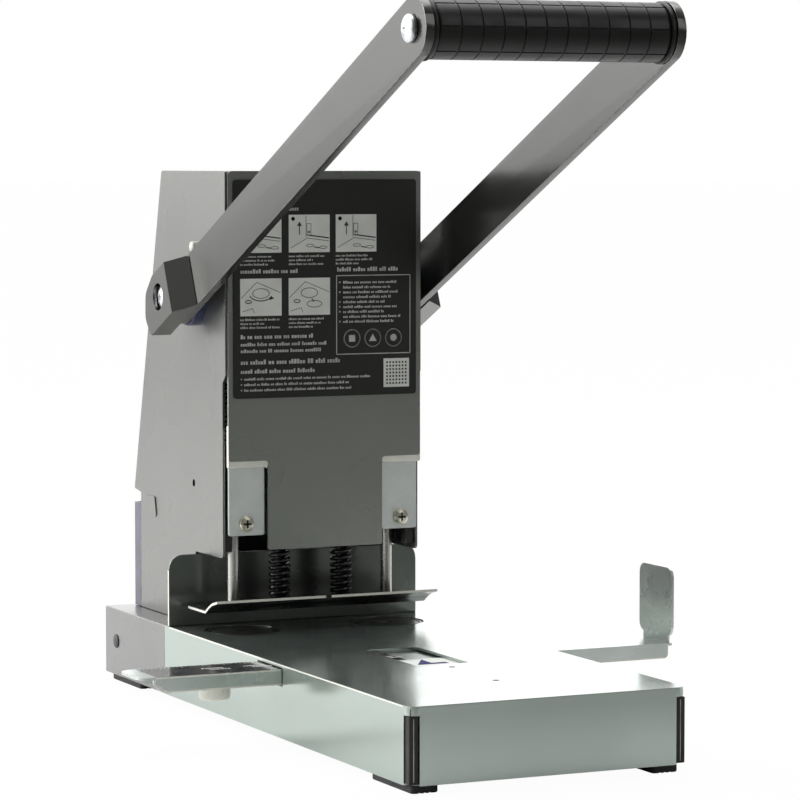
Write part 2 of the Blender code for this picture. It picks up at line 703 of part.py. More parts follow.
def rack_outline(centre_z, low, high):
    """Toothed bar in (Y, Z) facing +Y, with a tooth space level with the pinion's centre."""
    pitch = math.pi * GEAR_MODULE
    line = PIVOT_Y - PITCH_R
    half_tooth = (pitch - GEAR_BACKLASH) / 4
    lean = math.tan(GEAR_PRESSURE)
    tip, root = GEAR_MODULE, -1.25 * GEAR_MODULE
    points = [(line - RACK_BACK, high), (line - RACK_BACK, low), (line + root, low)]
    first, last = -2, math.ceil((STROKE + 2 * pitch) / pitch)
    for k in range(first, last + 1):
        z = centre_z + (k - 0.5) * pitch
        for depth, sign in ((root, -1), (tip, -1), (tip, 1), (root, 1)):
            points.append((line + depth, z + sign * (half_tooth - depth * lean)))
    points.append((line + root, high))
    return points


def build_lever():
    hole = circle(PIVOT_Y, PIVOT_Z, SHAFT_STUB_R + GAP, steps=20)
    grip_hole = circle(GRIP_Y, GRIP_Z, BOLT_R + GAP, steps=20)
    half = ARM_W / 2
    arm_outline = rectangle(-half, -half, ARM_LENGTH + ARM_END_R, half, half * ARM_END_ROUND, steps=8)
    arm = [along_arm(u, v) for u, v in arm_outline]
    hub = [along_arm(u, v) for u, v in fillet(HUB_OUTLINE, steps=3)]
    shaft = [(0, ARM_OUTER - GAP), (SHAFT_STUB_R, ARM_OUTER - GAP), (SHAFT_STUB_R, ARM_INNER - GAP),
             (SHAFT_R, ARM_INNER - GAP)]
    shaft += [(r, -x) for r, x in shaft[::-1]]
    main_shaft = node("main_shaft", "lever", "steel", turned(shaft, "X", (0, PIVOT_Y, PIVOT_Z)))
    pinion_bore = circle(PIVOT_Y, PIVOT_Z, SHAFT_R + GAP, steps=24)
    pivot = (0, PIVOT_Y, PIVOT_Z)
    for side, word in SIDES:
        near, far = span(side, ARM_INNER, ARM_OUTER)
        node("arm_" + word, "lever", "arm_enamel", prism(arm, "X", near, far, [hole, grip_hole]),
             soften=FOLD_EDGE)
        near, far = span(side, ARM_OUTER + GAP, HUB_FACE)
        cap = node("hub_cap_" + word, "lever", "arm_enamel", prism(hub, "X", near, far), soften=CAST_EDGE)
        seat = HUB_FACE - HUB_RECESS
        beyond = HUB_SLANT / 4
        far_end = HUB_END + 2 * HUB_SLANT
        slant = [(HUB_FACE + beyond, HUB_END - HUB_SLANT - beyond), (HUB_FACE + beyond, far_end),
                 (ARM_OUTER - beyond, far_end), (ARM_OUTER - beyond, HUB_END + beyond)]
        wedge = prism([(side * x, u) for x, u in slant], "Z", -HUB_WEDGE_REACH, HUB_WEDGE_REACH)
        turn = Matrix.Rotation(-ARM_RISE, 4, "X") @ Matrix.Scale(-1, 4, (0, 1, 0))
        wedge.transform(Matrix.Translation((0, PIVOT_Y, PIVOT_Z)) @ turn)
        wedge.flip_normals()
        cut(cap, wedge,
            rod("X", pivot, HUB_RECESS_R, side * seat, side * (HUB_FACE + PAST), 28),
            rod("X", pivot, HUB_BOLT_R + GAP, side * ARM_INNER, side * (HUB_FACE + PAST)))
        cut(main_shaft, rod("X", pivot, HUB_BOLT_R + GAP, side * (ARM_INNER - HUB_BOLT_HOLE_L),
                            side * (ARM_OUTER + PAST)))
        end = ARM_INNER - HUB_BOLT_L - seat
        bolt = [(0, HUB_BOLT_HEAD_T), (HUB_BOLT_HEAD_R - HUB_BOLT_CHAMFER, HUB_BOLT_HEAD_T),
                (HUB_BOLT_HEAD_R, HUB_BOLT_HEAD_T - HUB_BOLT_CHAMFER), (HUB_BOLT_HEAD_R, 0),
                (HUB_BOLT_R, 0), (HUB_BOLT_R, end), (0, end)]
        node("hub_bolt_" + word, "lever", "zinc",
             turned(bolt, "X", (side * (seat + GAP), PIVOT_Y, PIVOT_Z), flip=side < 0))
        head = ARM_OUTER + GAP
        inner = ARM_INNER - BOLT_L - head
        bolt = [(0, BOLT_HEAD_T), (BOLT_HEAD_R * 0.7, BOLT_HEAD_T), (BOLT_HEAD_R, BOLT_HEAD_T * 0.45),
                (BOLT_HEAD_R, 0), (BOLT_R, 0), (BOLT_R, inner), (0, inner)]
        node("grip_bolt_" + word, "lever", "zinc",
             turned(bolt, "X", (side * head, GRIP_Y, GRIP_Z), flip=side < 0))
        near, far = span(side, GEAR_X, GEAR_X + GEAR_FACE)
        node("drive_pinion_" + word, "lever", "steel",
             prism(gear_outline(PIVOT_Y, PIVOT_Z), "X", near, far, [pinion_bore]))
    end = ARM_INNER - GAP
    core = [(GRIP_CORE_R, end), (GRIP_CORE_R, -end), (BOLT_R + GAP, -end), (BOLT_R + GAP, end)]
    node("grip_core", "lever", "steel", turned(core, "X", (0, GRIP_Y, GRIP_Z), closed=True))
    sleeve = [(GRIP_R - GRIP_CHAMFER / 2, end), (GRIP_FLANGE_R, end - GRIP_CHAMFER),
              (GRIP_FLANGE_R, end - GRIP_LIP), (GRIP_R, end - GRIP_LIP - GRIP_CHAMFER / 2)]
    sleeve += [(r, -x) for r, x in sleeve[::-1]]
    sleeve += [(GRIP_CORE_R + GAP, -end), (GRIP_CORE_R + GAP, end)]
    node("grip_sleeve", "lever", "rubber", turned(sleeve, "X", (0, GRIP_Y, GRIP_Z), 32, closed=True))


# ---- punch head ----

def build_head():
    low = BASE_TOP + HEAD_LOW
    high = low + HEAD_H
    screw_z = low + CLAMP_SCREW_UP
    screw_hole_end = HEAD_FRONT - GAP - CLAMP_T - GAP + SCREW_L + PAST
    crossbar = node("head_crossbar", "punch_head", "steel",
                    box((-HEAD_HALF, HEAD_FRONT, low), (HEAD_HALF, HEAD_BACK, high)), soften=CAST_EDGE)
    clamp_front = HEAD_FRONT - GAP - CLAMP_T
    tip = BASE_TOP - BOARD_SINK + TIP_OVER_BOARD + STROKE
    for side, word in SIDES:
        x = side * CUTTER_X
        cut(crossbar, rod("Z", (x, CUTTER_Y, 0), CUTTER_R + GAP, low - PAST, high + PAST, 20),
            rod("Z", (side * PIN_X, CUTTER_Y, 0), PIN_R + GAP, low - PAST, high + PAST, 20),
            rod("Y", (x, 0, screw_z), SCREW_R + GAP, HEAD_FRONT - PAST, screw_hole_end, 12))
        tube = [(CUTTER_R, high + CUTTER_RISE), (CUTTER_R, tip + CUTTER_BEVEL),
                (CUTTER_BORE_R + CUTTER_EDGE, tip), (CUTTER_BORE_R, tip),
                (CUTTER_BORE_R, high + CUTTER_RISE)]
        node("cutter_" + word, "punch_head", "steel",
             turned(tube, "Z", (x, CUTTER_Y, 0), steps=20, closed=True))
        near, far = span(side, CLAMP_INNER, CLAMP_OUTER)
        plate = rectangle(near, low, far, low + CLAMP_H, SHEET_CORNER_R)
        node("clamp_plate_" + word, "punch_head", "zinc",
             prism(plate, "Y", clamp_front, clamp_front + CLAMP_T,
                   [circle(x, screw_z, SCREW_R + GAP, 12)]), soften=SHEET_EDGE)
        pan = [(0, SCREW_HEAD_T), (SCREW_HEAD_R * 0.6, SCREW_HEAD_T * 0.85),
               (SCREW_HEAD_R, SCREW_HEAD_T * 0.3), (SCREW_HEAD_R, 0), (SCREW_R, 0),
               (SCREW_R, -SCREW_L), (0, -SCREW_L)]
        node("clamp_screw_" + word, "punch_head", "zinc",
             turned(pan, "Y", (x, clamp_front - GAP, screw_z), steps=20))
        near, far = span(side, HEAD_HALF + GAP, SIDE_INNER - 2 * GAP - RAIL_WEB)
        node("slide_block_" + word, "punch_head", "brass",
             box((near, CUTTER_Y - BLOCK_D / 2, high - BLOCK_SINK - BLOCK_H),
                 (far, CUTTER_Y + BLOCK_D / 2, high - BLOCK_SINK)))
        near, far = span(side, GEAR_X, GEAR_X + GEAR_FACE)
        rack_top = PIVOT_Z + STROKE + RACK_OVER
        node("rack_" + word, "punch_head", "steel",
             prism(rack_outline(PIVOT_Z, high + GAP, rack_top), "X", near, far))
        shelf = BASE_TOP + SPRING_BRACKET_UP
        node("return_spring_" + word, "frame", "black_metal",
             coil((x, RETURN_Y), RETURN_COIL_R - RETURN_WIRE_R, RETURN_WIRE_R,
                  high + GAP, shelf - GAP, RETURN_TURNS))


def build_pressure_plate():
    under = BASE_TOP + THROAT
    top = under + PLATE_T
    path = [(PLATE_BACK, under), (PLATE_BEND, under)]
    path += [(y, under + rise) for y, rise in PLATE_LIP]
    plate = node("pressure_plate", "pressure_plate", "black_metal",
                 prism(folded(path[::-1], PLATE_T), "X", -PLATE_W / 2, PLATE_W / 2))
    lip_y = PLATE_LIP[-1][0]
    cut(plate, box((-PLATE_NOTCH[0] / 2, lip_y - 2 * PAST, under),
                   (PLATE_NOTCH[0] / 2, lip_y + PLATE_NOTCH[1], under + THROAT)))
    head_low = BASE_TOP + HEAD_LOW
    head_high = head_low + HEAD_H
    turns = round((head_low - top) / PRESS_PITCH)
    for side, word in SIDES:
        cut(plate, rod("Z", (side * CUTTER_X, CUTTER_Y, 0), CUTTER_R + 2 * SLIDE_GAP,
                       under - PAST, top + PAST, 20))
        pin = [(0, head_high + GAP + PIN_HEAD_T), (PIN_HEAD_R, head_high + GAP + PIN_HEAD_T),
               (PIN_HEAD_R, head_high + GAP), (PIN_R, head_high + GAP), (PIN_R, top + GAP),
               (0, top + GAP)]
        node("plate_pin_" + word, "pressure_plate", "steel",
             turned(pin, "Z", (side * PIN_X, CUTTER_Y, 0), steps=16))
        node("pressure_spring_" + word, "punch_head", "black_metal",
             coil((side * PIN_X, CUTTER_Y), PRESS_COIL_R - PRESS_WIRE_R, PRESS_WIRE_R,
                  top + GAP, head_low - GAP, turns))


# ---- paper guide ----

def build_guide():
    top = BASE_TOP - GUIDE_DROP
    half = GUIDE_W / 2
    low = top - GUIDE_DEPTH
    front, back = GUIDE_Y - half, GUIDE_Y + half
    tip_r = GUIDE_TIP_R
    strip = fillet([(-GUIDE_END, front, tip_r), (GUIDE_END, front, 0), (GUIDE_END, back, 0),
                    (-GUIDE_END, back, tip_r)])
    bar = node("guide_bar", "paper_guide", "zinc", prism(strip, "Z", top - GUIDE_T, top))
    flange_end = -GUIDE_END + tip_r + 10 * LAP
    flange_back = GUIDE_END - GUIDE_FLANGE_BACK
    flange = fillet([(flange_end, top - GUIDE_T / 2, 0), (flange_end, top - GUIDE_FLANGE_TIP_H, 0),
                     (-GUIDE_END + GUIDE_TIP, low, tip_r), (flange_back, low, GUIDE_FLANGE_BACK),
                     (flange_back, top - GUIDE_T / 2, 0)])
    flag_half, neck_half = FLAG_W / 2, FLAG_NECK_W / 2
    neck_top = BASE_TOP + FLAG_NECK_H
    flag_top = BASE_TOP + FLAG_H
    flag = rectangle(GUIDE_Y - flag_half, neck_top, GUIDE_Y + flag_half, flag_top, FLAG_CORNER_R)
    neck_x = (GUIDE_END - GUIDE_T, GUIDE_END - 2 * LAP)
    unite(bar, prism(flange, "Y", front + LAP, front + LAP + GUIDE_T),
          prism(flange, "Y", back - LAP - GUIDE_T, back - LAP),
          box((neck_x[0], GUIDE_Y - neck_half, top - GUIDE_T / 2),
              (neck_x[1], GUIDE_Y + neck_half, neck_top + FLAG_CORNER_R)),
          prism(flag, "X", GUIDE_END - LAP - GUIDE_T, GUIDE_END - LAP))

    knob_low = BASE_TOP - KNOB_LOW
    knob_top = top - GUIDE_T - GAP
    neck_r = KNOB_R * KNOB_NECK
    knob = [(0, knob_top), (neck_r, knob_top), (neck_r, low + SLIDE_GAP),
            (KNOB_R - SLIDE_GAP, low + SLIDE_GAP), (KNOB_R, low), (KNOB_R, knob_low + KNOB_CHAMFER),
            (KNOB_R - KNOB_CHAMFER, knob_low), (0, knob_low)]
    node("guide_knob", "paper_guide", "cream_plastic", turned(knob, "Z", (KNOB_X, GUIDE_Y, 0), steps=28))

    wall = half + SLIDE_GAP
    floor = low - SLIDE_GAP
    wall_top = BASE_TOP - BASE_T - GAP
    channel_end = INNER_HALF - GAP
    channel = [(GUIDE_Y - wall, wall_top), (GUIDE_Y - wall, floor), (GUIDE_Y + wall, floor),
               (GUIDE_Y + wall, wall_top)]
    node("guide_channel", "frame", "zinc",
         prism(folded(channel[::-1], GUIDE_T), "X", -channel_end, channel_end))
    pointer_back = GUIDE_Y - wall - GUIDE_T - GAP
    pointer_top = BASE_TOP - BASE_T - GAP
    node("pointer_plate", "frame", "zinc",
         box((-POINTER_W / 2, WINDOW_FRONT - POINTER_LAP, pointer_top - POINTER_T),
             (POINTER_W / 2, pointer_back, pointer_top)))


# ---- chip tray ----

def build_tray():
    low = FOOT_H + BASE_T + SLIDE_GAP
    half = INNER_HALF - 2 * SLIDE_GAP
    back = BASE_REAR - TRAY_T
    tray = node("chip_tray", "chip_tray", "black_plastic",
                box((-half, TRAY_FRONT, low), (half, back, low + TRAY_DEPTH)))
    cut(tray, box((-half + TRAY_T, TRAY_FRONT + TRAY_T, low + TRAY_T),
                  (half - TRAY_T, back - TRAY_T, low + 2 * TRAY_DEPTH)))
    face = rectangle(-half, low, half, BASE_TOP - BASE_T - 2 * SLIDE_GAP, SHEET_CORNER_R)
    pull_low = low + TRAY_DEPTH + PULL_LOW
    pull = rectangle(-PULL_HALF, pull_low, PULL_HALF, pull_low + PULL_H, PULL_H / 2 - LAP)
    unite(tray, prism(face, "Y", back - TRAY_T, BASE_REAR - GAP, [pull]))


clear_scene()
PARTS = new_collection("lever_punch")
TOOLS = new_collection("cutters")
ROOT = new_empty("lever_punch_origin", (0, -FOOTPRINT_MIDDLE_Y, 0))
BODIES = {name: new_empty(name + "_axis", place, ROOT) for name, place in BODY_ORIGINS.items()}

build_base()
build_boards()
build_tower()
build_lever()
build_head()
build_pressure_plate()
build_guide()
build_tray()
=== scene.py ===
import math
import random

import bmesh
import bpy
from mathutils import Matrix, Vector


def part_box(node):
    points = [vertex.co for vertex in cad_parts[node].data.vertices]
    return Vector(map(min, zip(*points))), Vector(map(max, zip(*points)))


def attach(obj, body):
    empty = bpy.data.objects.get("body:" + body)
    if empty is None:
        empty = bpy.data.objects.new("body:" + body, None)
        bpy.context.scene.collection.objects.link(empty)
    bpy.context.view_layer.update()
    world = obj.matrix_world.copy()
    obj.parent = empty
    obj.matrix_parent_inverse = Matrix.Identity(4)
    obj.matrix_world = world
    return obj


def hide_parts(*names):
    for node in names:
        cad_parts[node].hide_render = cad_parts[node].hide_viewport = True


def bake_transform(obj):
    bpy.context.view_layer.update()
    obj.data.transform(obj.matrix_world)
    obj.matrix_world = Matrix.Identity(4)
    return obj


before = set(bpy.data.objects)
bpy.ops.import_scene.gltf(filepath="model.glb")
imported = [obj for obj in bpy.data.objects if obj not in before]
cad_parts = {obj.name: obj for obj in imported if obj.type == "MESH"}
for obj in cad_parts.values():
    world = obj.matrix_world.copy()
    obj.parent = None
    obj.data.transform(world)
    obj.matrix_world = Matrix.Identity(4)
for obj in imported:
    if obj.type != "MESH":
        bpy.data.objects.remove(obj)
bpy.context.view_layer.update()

MM = 0.001

# ---- places read from the frame ----
BASE_LOW, BASE_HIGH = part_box("base_cover")
STOP_LOW, STOP_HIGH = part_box("stop_plate")
PANEL_LOW, PANEL_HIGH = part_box("front_panel")
LABEL_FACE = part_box("label_plate")[0].y
SIDE_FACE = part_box("side_plate_right")[1].x
GUIDE_LOW, GUIDE_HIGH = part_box("guide_bar")
BASE_TOP = BASE_HIGH.z
STOP_FRONT = STOP_LOW.y
GUIDE_TOP = BASE_TOP - 2.0 * MM
GUIDE_FRONT = STOP_FRONT - 137.3 * MM
GUIDE_MIDDLE = STOP_FRONT - 123.7 * MM
PROUD = 0.02 * MM
SIDES = ((-1, "left"), (1, "right"))


# ---- node trees ----

def add(tree, kind, inputs=None, **settings):
    """One shader node; an input is a plain value or another node's output."""
    made = tree.nodes.new("ShaderNode" + kind)
    for key, value in settings.items():
        setattr(made, key, value)
    for key, value in (inputs or {}).items():
        if isinstance(value, bpy.types.NodeSocket):
            tree.links.new(value, made.inputs[key])
        else:
            made.inputs[key].default_value = value
    return made


def maths(tree, operation, a, b=0.0, clamp=False):
    return add(tree, "Math", {0: a, 1: b}, operation=operation, use_clamp=clamp).outputs[0]


def blend_value(tree, share, a, b):
    return add(tree, "Mix", {0: share, 2: a, 3: b}).outputs[0]


def blend_colour(tree, share, a, b, how="MIX"):
    return add(tree, "Mix", {0: share, 6: a, 7: b}, data_type="RGBA", blend_type=how).outputs[2]


def step_between(tree, value, low, high):
    """0 below low, 1 above high, smooth in between."""
    return add(tree, "MapRange", {"Value": value, "From Min": low, "From Max": high},
               interpolation_type="SMOOTHSTEP").outputs["Result"]


def noise(tree, vector, scale, detail=2.0, roughness=0.5):
    return add(tree, "TexNoise", {"Vector": vector, "Scale": scale, "Detail": detail,
                                  "Roughness": roughness}).outputs["Fac"]


def new_group(name, inputs, outputs):
    """Empty node group; gives the tree, its inputs and its outputs."""
    tree = bpy.data.node_groups.new(name, "ShaderNodeTree")
    for label, kind, value in inputs:
        socket = tree.interface.new_socket(label, in_out="INPUT", socket_type="NodeSocket" + kind)
        if value is not None:
            socket.default_value = value
    for label in outputs:
        tree.interface.new_socket(label, in_out="OUTPUT", socket_type="NodeSocketFloat")
    return tree, tree.nodes.new("NodeGroupInput").outputs, tree.nodes.new("NodeGroupOutput").inputs


def make_paint_skin():
    """Fine waviness of a stoved enamel with a little powder grain in it."""
    tree, given, out = new_group("paint_skin", [("Vector", "Vector", None), ("Scale", "Float", 600.0)],
                                 ["Height"])
    waves = noise(tree, given["Vector"], given["Scale"], 1.0)
    powder = noise(tree, given["Vector"], maths(tree, "MULTIPLY", given["Scale"], 5.5), 2.0)
    tree.links.new(blend_value(tree, 0.3, waves, powder), out["Height"])
    return tree


def make_flake():
    """Tiny bright flakes, as in a metallic enamel."""
    tree, given, out = new_group("metal_flake", [("Vector", "Vector", None), ("Scale", "Float", 5000.0)],
                                 ["Mask"])
    cells = add(tree, "TexVoronoi", {"Vector": given["Vector"], "Scale": given["Scale"]})
    tone = add(tree, "SeparateColor", {0: cells.outputs["Color"]}).outputs[0]
    tree.links.new(tone, out["Mask"])
    return tree


def make_smudges():
    """Broad soft patches where hands and cloths have been."""
    tree, given, out = new_group("handling_smudges",
                                 [("Vector", "Vector", None), ("Scale", "Float", 30.0)], ["Mask"])
    patches = noise(tree, given["Vector"], given["Scale"], 1.0, 0.5)
    tree.links.new(step_between(tree, patches, 0.30, 0.75), out["Mask"])
    return tree


def make_scratches():
    """Hair scratches in two crossing directions."""
    tree, given, out = new_group("hair_scratches",
                                 [("Vector", "Vector", None), ("Scale", "Float", 60.0)], ["Mask"])
    lines = []
    for tilt, squeeze in ((0.5, (1, 28, 1)), (-0.9, (24, 1, 3))):
        turned = add(tree, "Mapping", {"Vector": given["Vector"], "Rotation": (0.4 * tilt, tilt, tilt),
                                       "Scale": squeeze}).outputs[0]
        lines.append(step_between(tree, noise(tree, turned, given["Scale"], 2.0), 0.66, 0.74))
    tree.links.new(maths(tree, "MAXIMUM", lines[0], lines[1]), out["Mask"])
    return tree


def make_edge_wear():
    """Rubbed edges: where a rounded normal turns away from the true one, broken up by noise."""
    tree, given, out = new_group("edge_wear", [("Vector", "Vector", None), ("Radius", "Float", 0.0005),
                                               ("Breakup", "Float", 300.0)], ["Mask"])
    rounded = add(tree, "Bevel", {"Radius": given["Radius"]}, samples=4).outputs[0]
    true = add(tree, "NewGeometry").outputs["True Normal"]
    facing = add(tree, "VectorMath", {0: rounded, 1: true}, operation="DOT_PRODUCT").outputs["Value"]
    turned = maths(tree, "SUBTRACT", 1.0, facing, clamp=True)
    broken = step_between(tree, noise(tree, given["Vector"], given["Breakup"], 3.0, 0.65), 0.38, 0.62)
    edge = step_between(tree, turned, 0.02, 0.16)
    tree.links.new(maths(tree, "MULTIPLY", edge, broken), out["Mask"])
    return tree


def make_dust():
    """Thin dust that lies on what faces up."""
    tree, given, out = new_group("settled_dust", [("Vector", "Vector", None), ("Scale", "Float", 90.0)],
                                 ["Mask"])
    up = add(tree, "SeparateXYZ", {0: add(tree, "TexCoord").outputs["Normal"]}).outputs["Z"]
    flat = step_between(tree, up, 0.5, 0.95)
    clouds = step_between(tree, noise(tree, given["Vector"], given["Scale"], 5.0, 0.7), 0.42, 0.75)
    specks = step_between(tree, noise(tree, given["Vector"], maths(tree, "MULTIPLY", given["Scale"], 30.0),
                                      2.0), 0.68, 0.76)
    both = maths(tree, "ADD", maths(tree, "MULTIPLY", clouds, 0.5), specks, clamp=True)
    tree.links.new(maths(tree, "MULTIPLY", flat, both), out["Mask"])
    return tree


def make_zinc_bloom():
    """Cloudy patches of plated zinc with small pale flecks."""
    tree, given, out = new_group("zinc_bloom", [("Vector", "Vector", None), ("Scale", "Float", 140.0)],
                                 ["Mask", "Height"])
    clouds = noise(tree, given["Vector"], given["Scale"], 5.0, 0.68)
    cells = add(tree, "TexVoronoi", {"Vector": given["Vector"],
                                     "Scale": maths(tree, "MULTIPLY", given["Scale"], 3.2)},
                feature="SMOOTH_F1")
    tone = add(tree, "SeparateColor", {0: cells.outputs["Color"]}).outputs[0]
    mixed = blend_value(tree, 0.35, clouds, tone)
    tree.links.new(step_between(tree, mixed, 0.30, 0.70), out["Mask"])
    tree.links.new(clouds, out["Height"])
    return tree


def make_draw_lines():
    """Long parallel lines of drawn, brushed or turned metal; Squeeze sets their direction."""
    tree, given, out = new_group("draw_lines", [("Vector", "Vector", None), ("Squeeze", "Vector", (1, 1, 1)),
                                                ("Scale", "Float", 900.0)], ["Height"])
    pulled = add(tree, "VectorMath", {0: given["Vector"], 1: given["Squeeze"]},
                 operation="MULTIPLY").outputs[0]
    coarse = noise(tree, pulled, given["Scale"], 3.0, 0.6)
    fine = noise(tree, pulled, maths(tree, "MULTIPLY", given["Scale"], 4.0), 2.0)
    tree.links.new(blend_value(tree, 0.45, coarse, fine), out["Height"])
    return tree


GROUPS = {"skin": make_paint_skin(), "flake": make_flake(), "smudges": make_smudges(),
          "scratches": make_scratches(), "wear": make_edge_wear(), "dust": make_dust(),
          "bloom": make_zinc_bloom(), "lines": make_draw_lines()}


# ---- layers: each adds one group to a material's colour, roughness, metal or height ----

def use(tree, group, **values):
    made = tree.nodes.new("ShaderNodeGroup")
    made.node_tree = GROUPS[group]
    place = tree.nodes.get("place") or add(tree, "TexCoord", name="place")
    tree.links.new(place.outputs["Object"], made.inputs["Vector"])
    for key, value in values.items():
        made.inputs[key.capitalize()].default_value = value
    return made.outputs


def raise_height(tree, so_far, height, depth):
    scaled = maths(tree, "MULTIPLY", height, depth)
    so_far["height"] = scaled if so_far["height"] is None else maths(tree, "ADD", so_far["height"], scaled)


def roughen(tree, so_far, mask, rougher):
    more = maths(tree, "MULTIPLY", mask, rougher)
    so_far["roughness"] = maths(tree, "ADD", so_far["roughness"], more)


def tint(tree, so_far, share, colour):
    so_far["colour"] = blend_colour(tree, share, so_far["colour"], (*colour, 1))


def layered(put_on):
    """Lets a layer be chosen with its values first and put on a material later."""
    return lambda *values, **named: lambda tree, so_far: put_on(tree, so_far, *values, **named)


@layered
def skin(tree, so_far, scale, depth=1.0):
    raise_height(tree, so_far, use(tree, "skin", scale=scale)["Height"], depth)


@layered
def flake(tree, so_far, amount):
    mask = use(tree, "flake", scale=5000.0)["Mask"]
    tone = blend_value(tree, mask, 1.0 - amount, 1.0 + amount)
    grey = add(tree, "CombineColor", {0: tone, 1: tone, 2: tone}).outputs[0]
    so_far["colour"] = blend_colour(tree, 1.0, so_far["colour"], grey, "MULTIPLY")


@layered
def smudges(tree, so_far, rougher, darker, scale=30.0):
    mask = use(tree, "smudges", scale=scale)["Mask"]
    roughen(tree, so_far, mask, rougher)
    tint(tree, so_far, maths(tree, "MULTIPLY", mask, darker), (0, 0, 0))


@layered
def scratches(tree, so_far, depth, rougher=0.12, scale=60.0):
    mask = use(tree, "scratches", scale=scale)["Mask"]
    roughen(tree, so_far, mask, rougher)
    raise_height(tree, so_far, mask, -depth)


@layered
def wear(tree, so_far, colour, amount, radius=0.0005, metal=1.0):
    mask = maths(tree, "MULTIPLY", use(tree, "wear", radius=radius)["Mask"], amount)
    tint(tree, so_far, mask, colour)
    so_far["metallic"] = blend_value(tree, mask, so_far["metallic"], metal)


@layered
def dust(tree, so_far, amount):
    mask = maths(tree, "MULTIPLY", use(tree, "dust", scale=90.0)["Mask"], amount)
    tint(tree, so_far, mask, DUST_GREY)
    so_far["roughness"] = blend_value(tree, mask, so_far["roughness"], 0.9)
    so_far["metallic"] = blend_value(tree, mask, so_far["metallic"], 0.0)


@layered
def bloom(tree, so_far, pale, amount, rougher, scale, depth=0.5):
    got = use(tree, "bloom", scale=scale)
    tint(tree, so_far, maths(tree, "MULTIPLY", got["Mask"], amount), pale)
    roughen(tree, so_far, got["Mask"], rougher)
    raise_height(tree, so_far, got["Height"], depth)


@layered
def lines(tree, so_far, squeeze, depth, scale, rougher=0.06):
    height = use(tree, "lines", squeeze=squeeze, scale=scale)["Height"]
    roughen(tree, so_far, height, rougher)
    raise_height(tree, so_far, height, depth)


def finish(name, colour, roughness, metallic, layers, bump=0.0001, coat=0.0, coat_roughness=0.1):
    """A material from a base colour and the layers over it."""
    made = bpy.data.materials.new(name)
    made.use_nodes = True
    tree = made.node_tree
    shader = tree.nodes["Principled BSDF"]
    so_far = {"colour": (*colour, 1), "roughness": roughness, "metallic": metallic, "height": None}
    for layer in layers:
        layer(tree, so_far)
    for key, label in (("colour", "Base Color"), ("roughness", "Roughness"), ("metallic", "Metallic")):
        if isinstance(so_far[key], bpy.types.NodeSocket):
            tree.links.new(so_far[key], shader.inputs[label])
        else:
            shader.inputs[label].default_value = so_far[key]
    if so_far["height"] is not None:
        bumped = add(tree, "Bump", {"Height": so_far["height"], "Distance": bump, "Strength": 0.6})
        tree.links.new(bumped.outputs[0], shader.inputs["Normal"])
    shader.inputs["Coat Weight"].default_value = coat
    shader.inputs["Coat Roughness"].default_value = coat_roughness
    return made


BARE_EDGE = (0.70, 0.67, 0.60)
DUST_GREY = (0.55, 0.54, 0.51)
ALONG_X = (0.02, 1.0, 1.0)
ALONG_Z = (1.0, 1.0, 0.02)
ROUND_X = (1.0, 0.03, 0.03)
ROUND_Z = (0.03, 0.03, 1.0)


def enamel(name, colour, roughness, metallic, flakes, marks, rubbed, dusty, grain=700, bump=0.000005,
           coat=0.0):
    """A stoved metallic enamel with its flakes, smudges, rubbed edges, dust and fine skin."""
    layers = [flake(flakes), smudges(*marks), wear(BARE_EDGE, rubbed), dust(dusty), skin(grain)]
    return finish(name, colour, roughness, metallic, layers, bump=bump, coat=coat)


def enamels():
    """Enamels of the sheet-metal pieces."""
    return {
        # The front panel and the side plates, top and rear cover share one paint: painted lighter on the
        # front and darker on the sides, as light falls on them.
        "tower": enamel("tower_enamel", (0.385, 0.400, 0.370), 0.26, 0.80, 0.06, (0.05, 0.05), 0.35, 0.10),
        "tower_side_shaded": enamel("tower_side_enamel", (0.245, 0.247, 0.236), 0.26, 0.80, 0.06,
                             (0.05, 0.04, 22), 0.35, 0.10),
        "arm": enamel("arm_enamel", (0.132, 0.132, 0.127), 0.19, 0.93, 0.06, (0.04, 0.06, 40), 0.45, 0.08),
        "hub": enamel("hub_enamel", (0.185, 0.184, 0.176), 0.16, 0.95, 0.06, (0.04, 0.06, 40), 0.45,
                      0.08, bump=0.000004),
        "base": enamel("base_enamel", (0.455, 0.518, 0.481), 0.15, 0.88, 0.05, (0.04, 0.04, 20), 0.55,
                       0.08, 900, 0.000006),
        "rear_shell": enamel("rear_shell_enamel", (0.270, 0.267, 0.266), 0.24, 0.80, 0.05,
                             (0.05, 0.04, 20), 0.5, 0.12),
        "black": enamel("black_enamel", (0.018, 0.018, 0.018), 0.22, 0.10, 0.06, (0.10, 0.0, 35), 0.75,
                        0.10, coat=0.4),
        "stop": enamel("stop_enamel", (0.150, 0.165, 0.149), 0.22, 0.60, 0.06, (0.08, 0.0, 35), 0.75,
                       0.10, coat=0.4),
    }


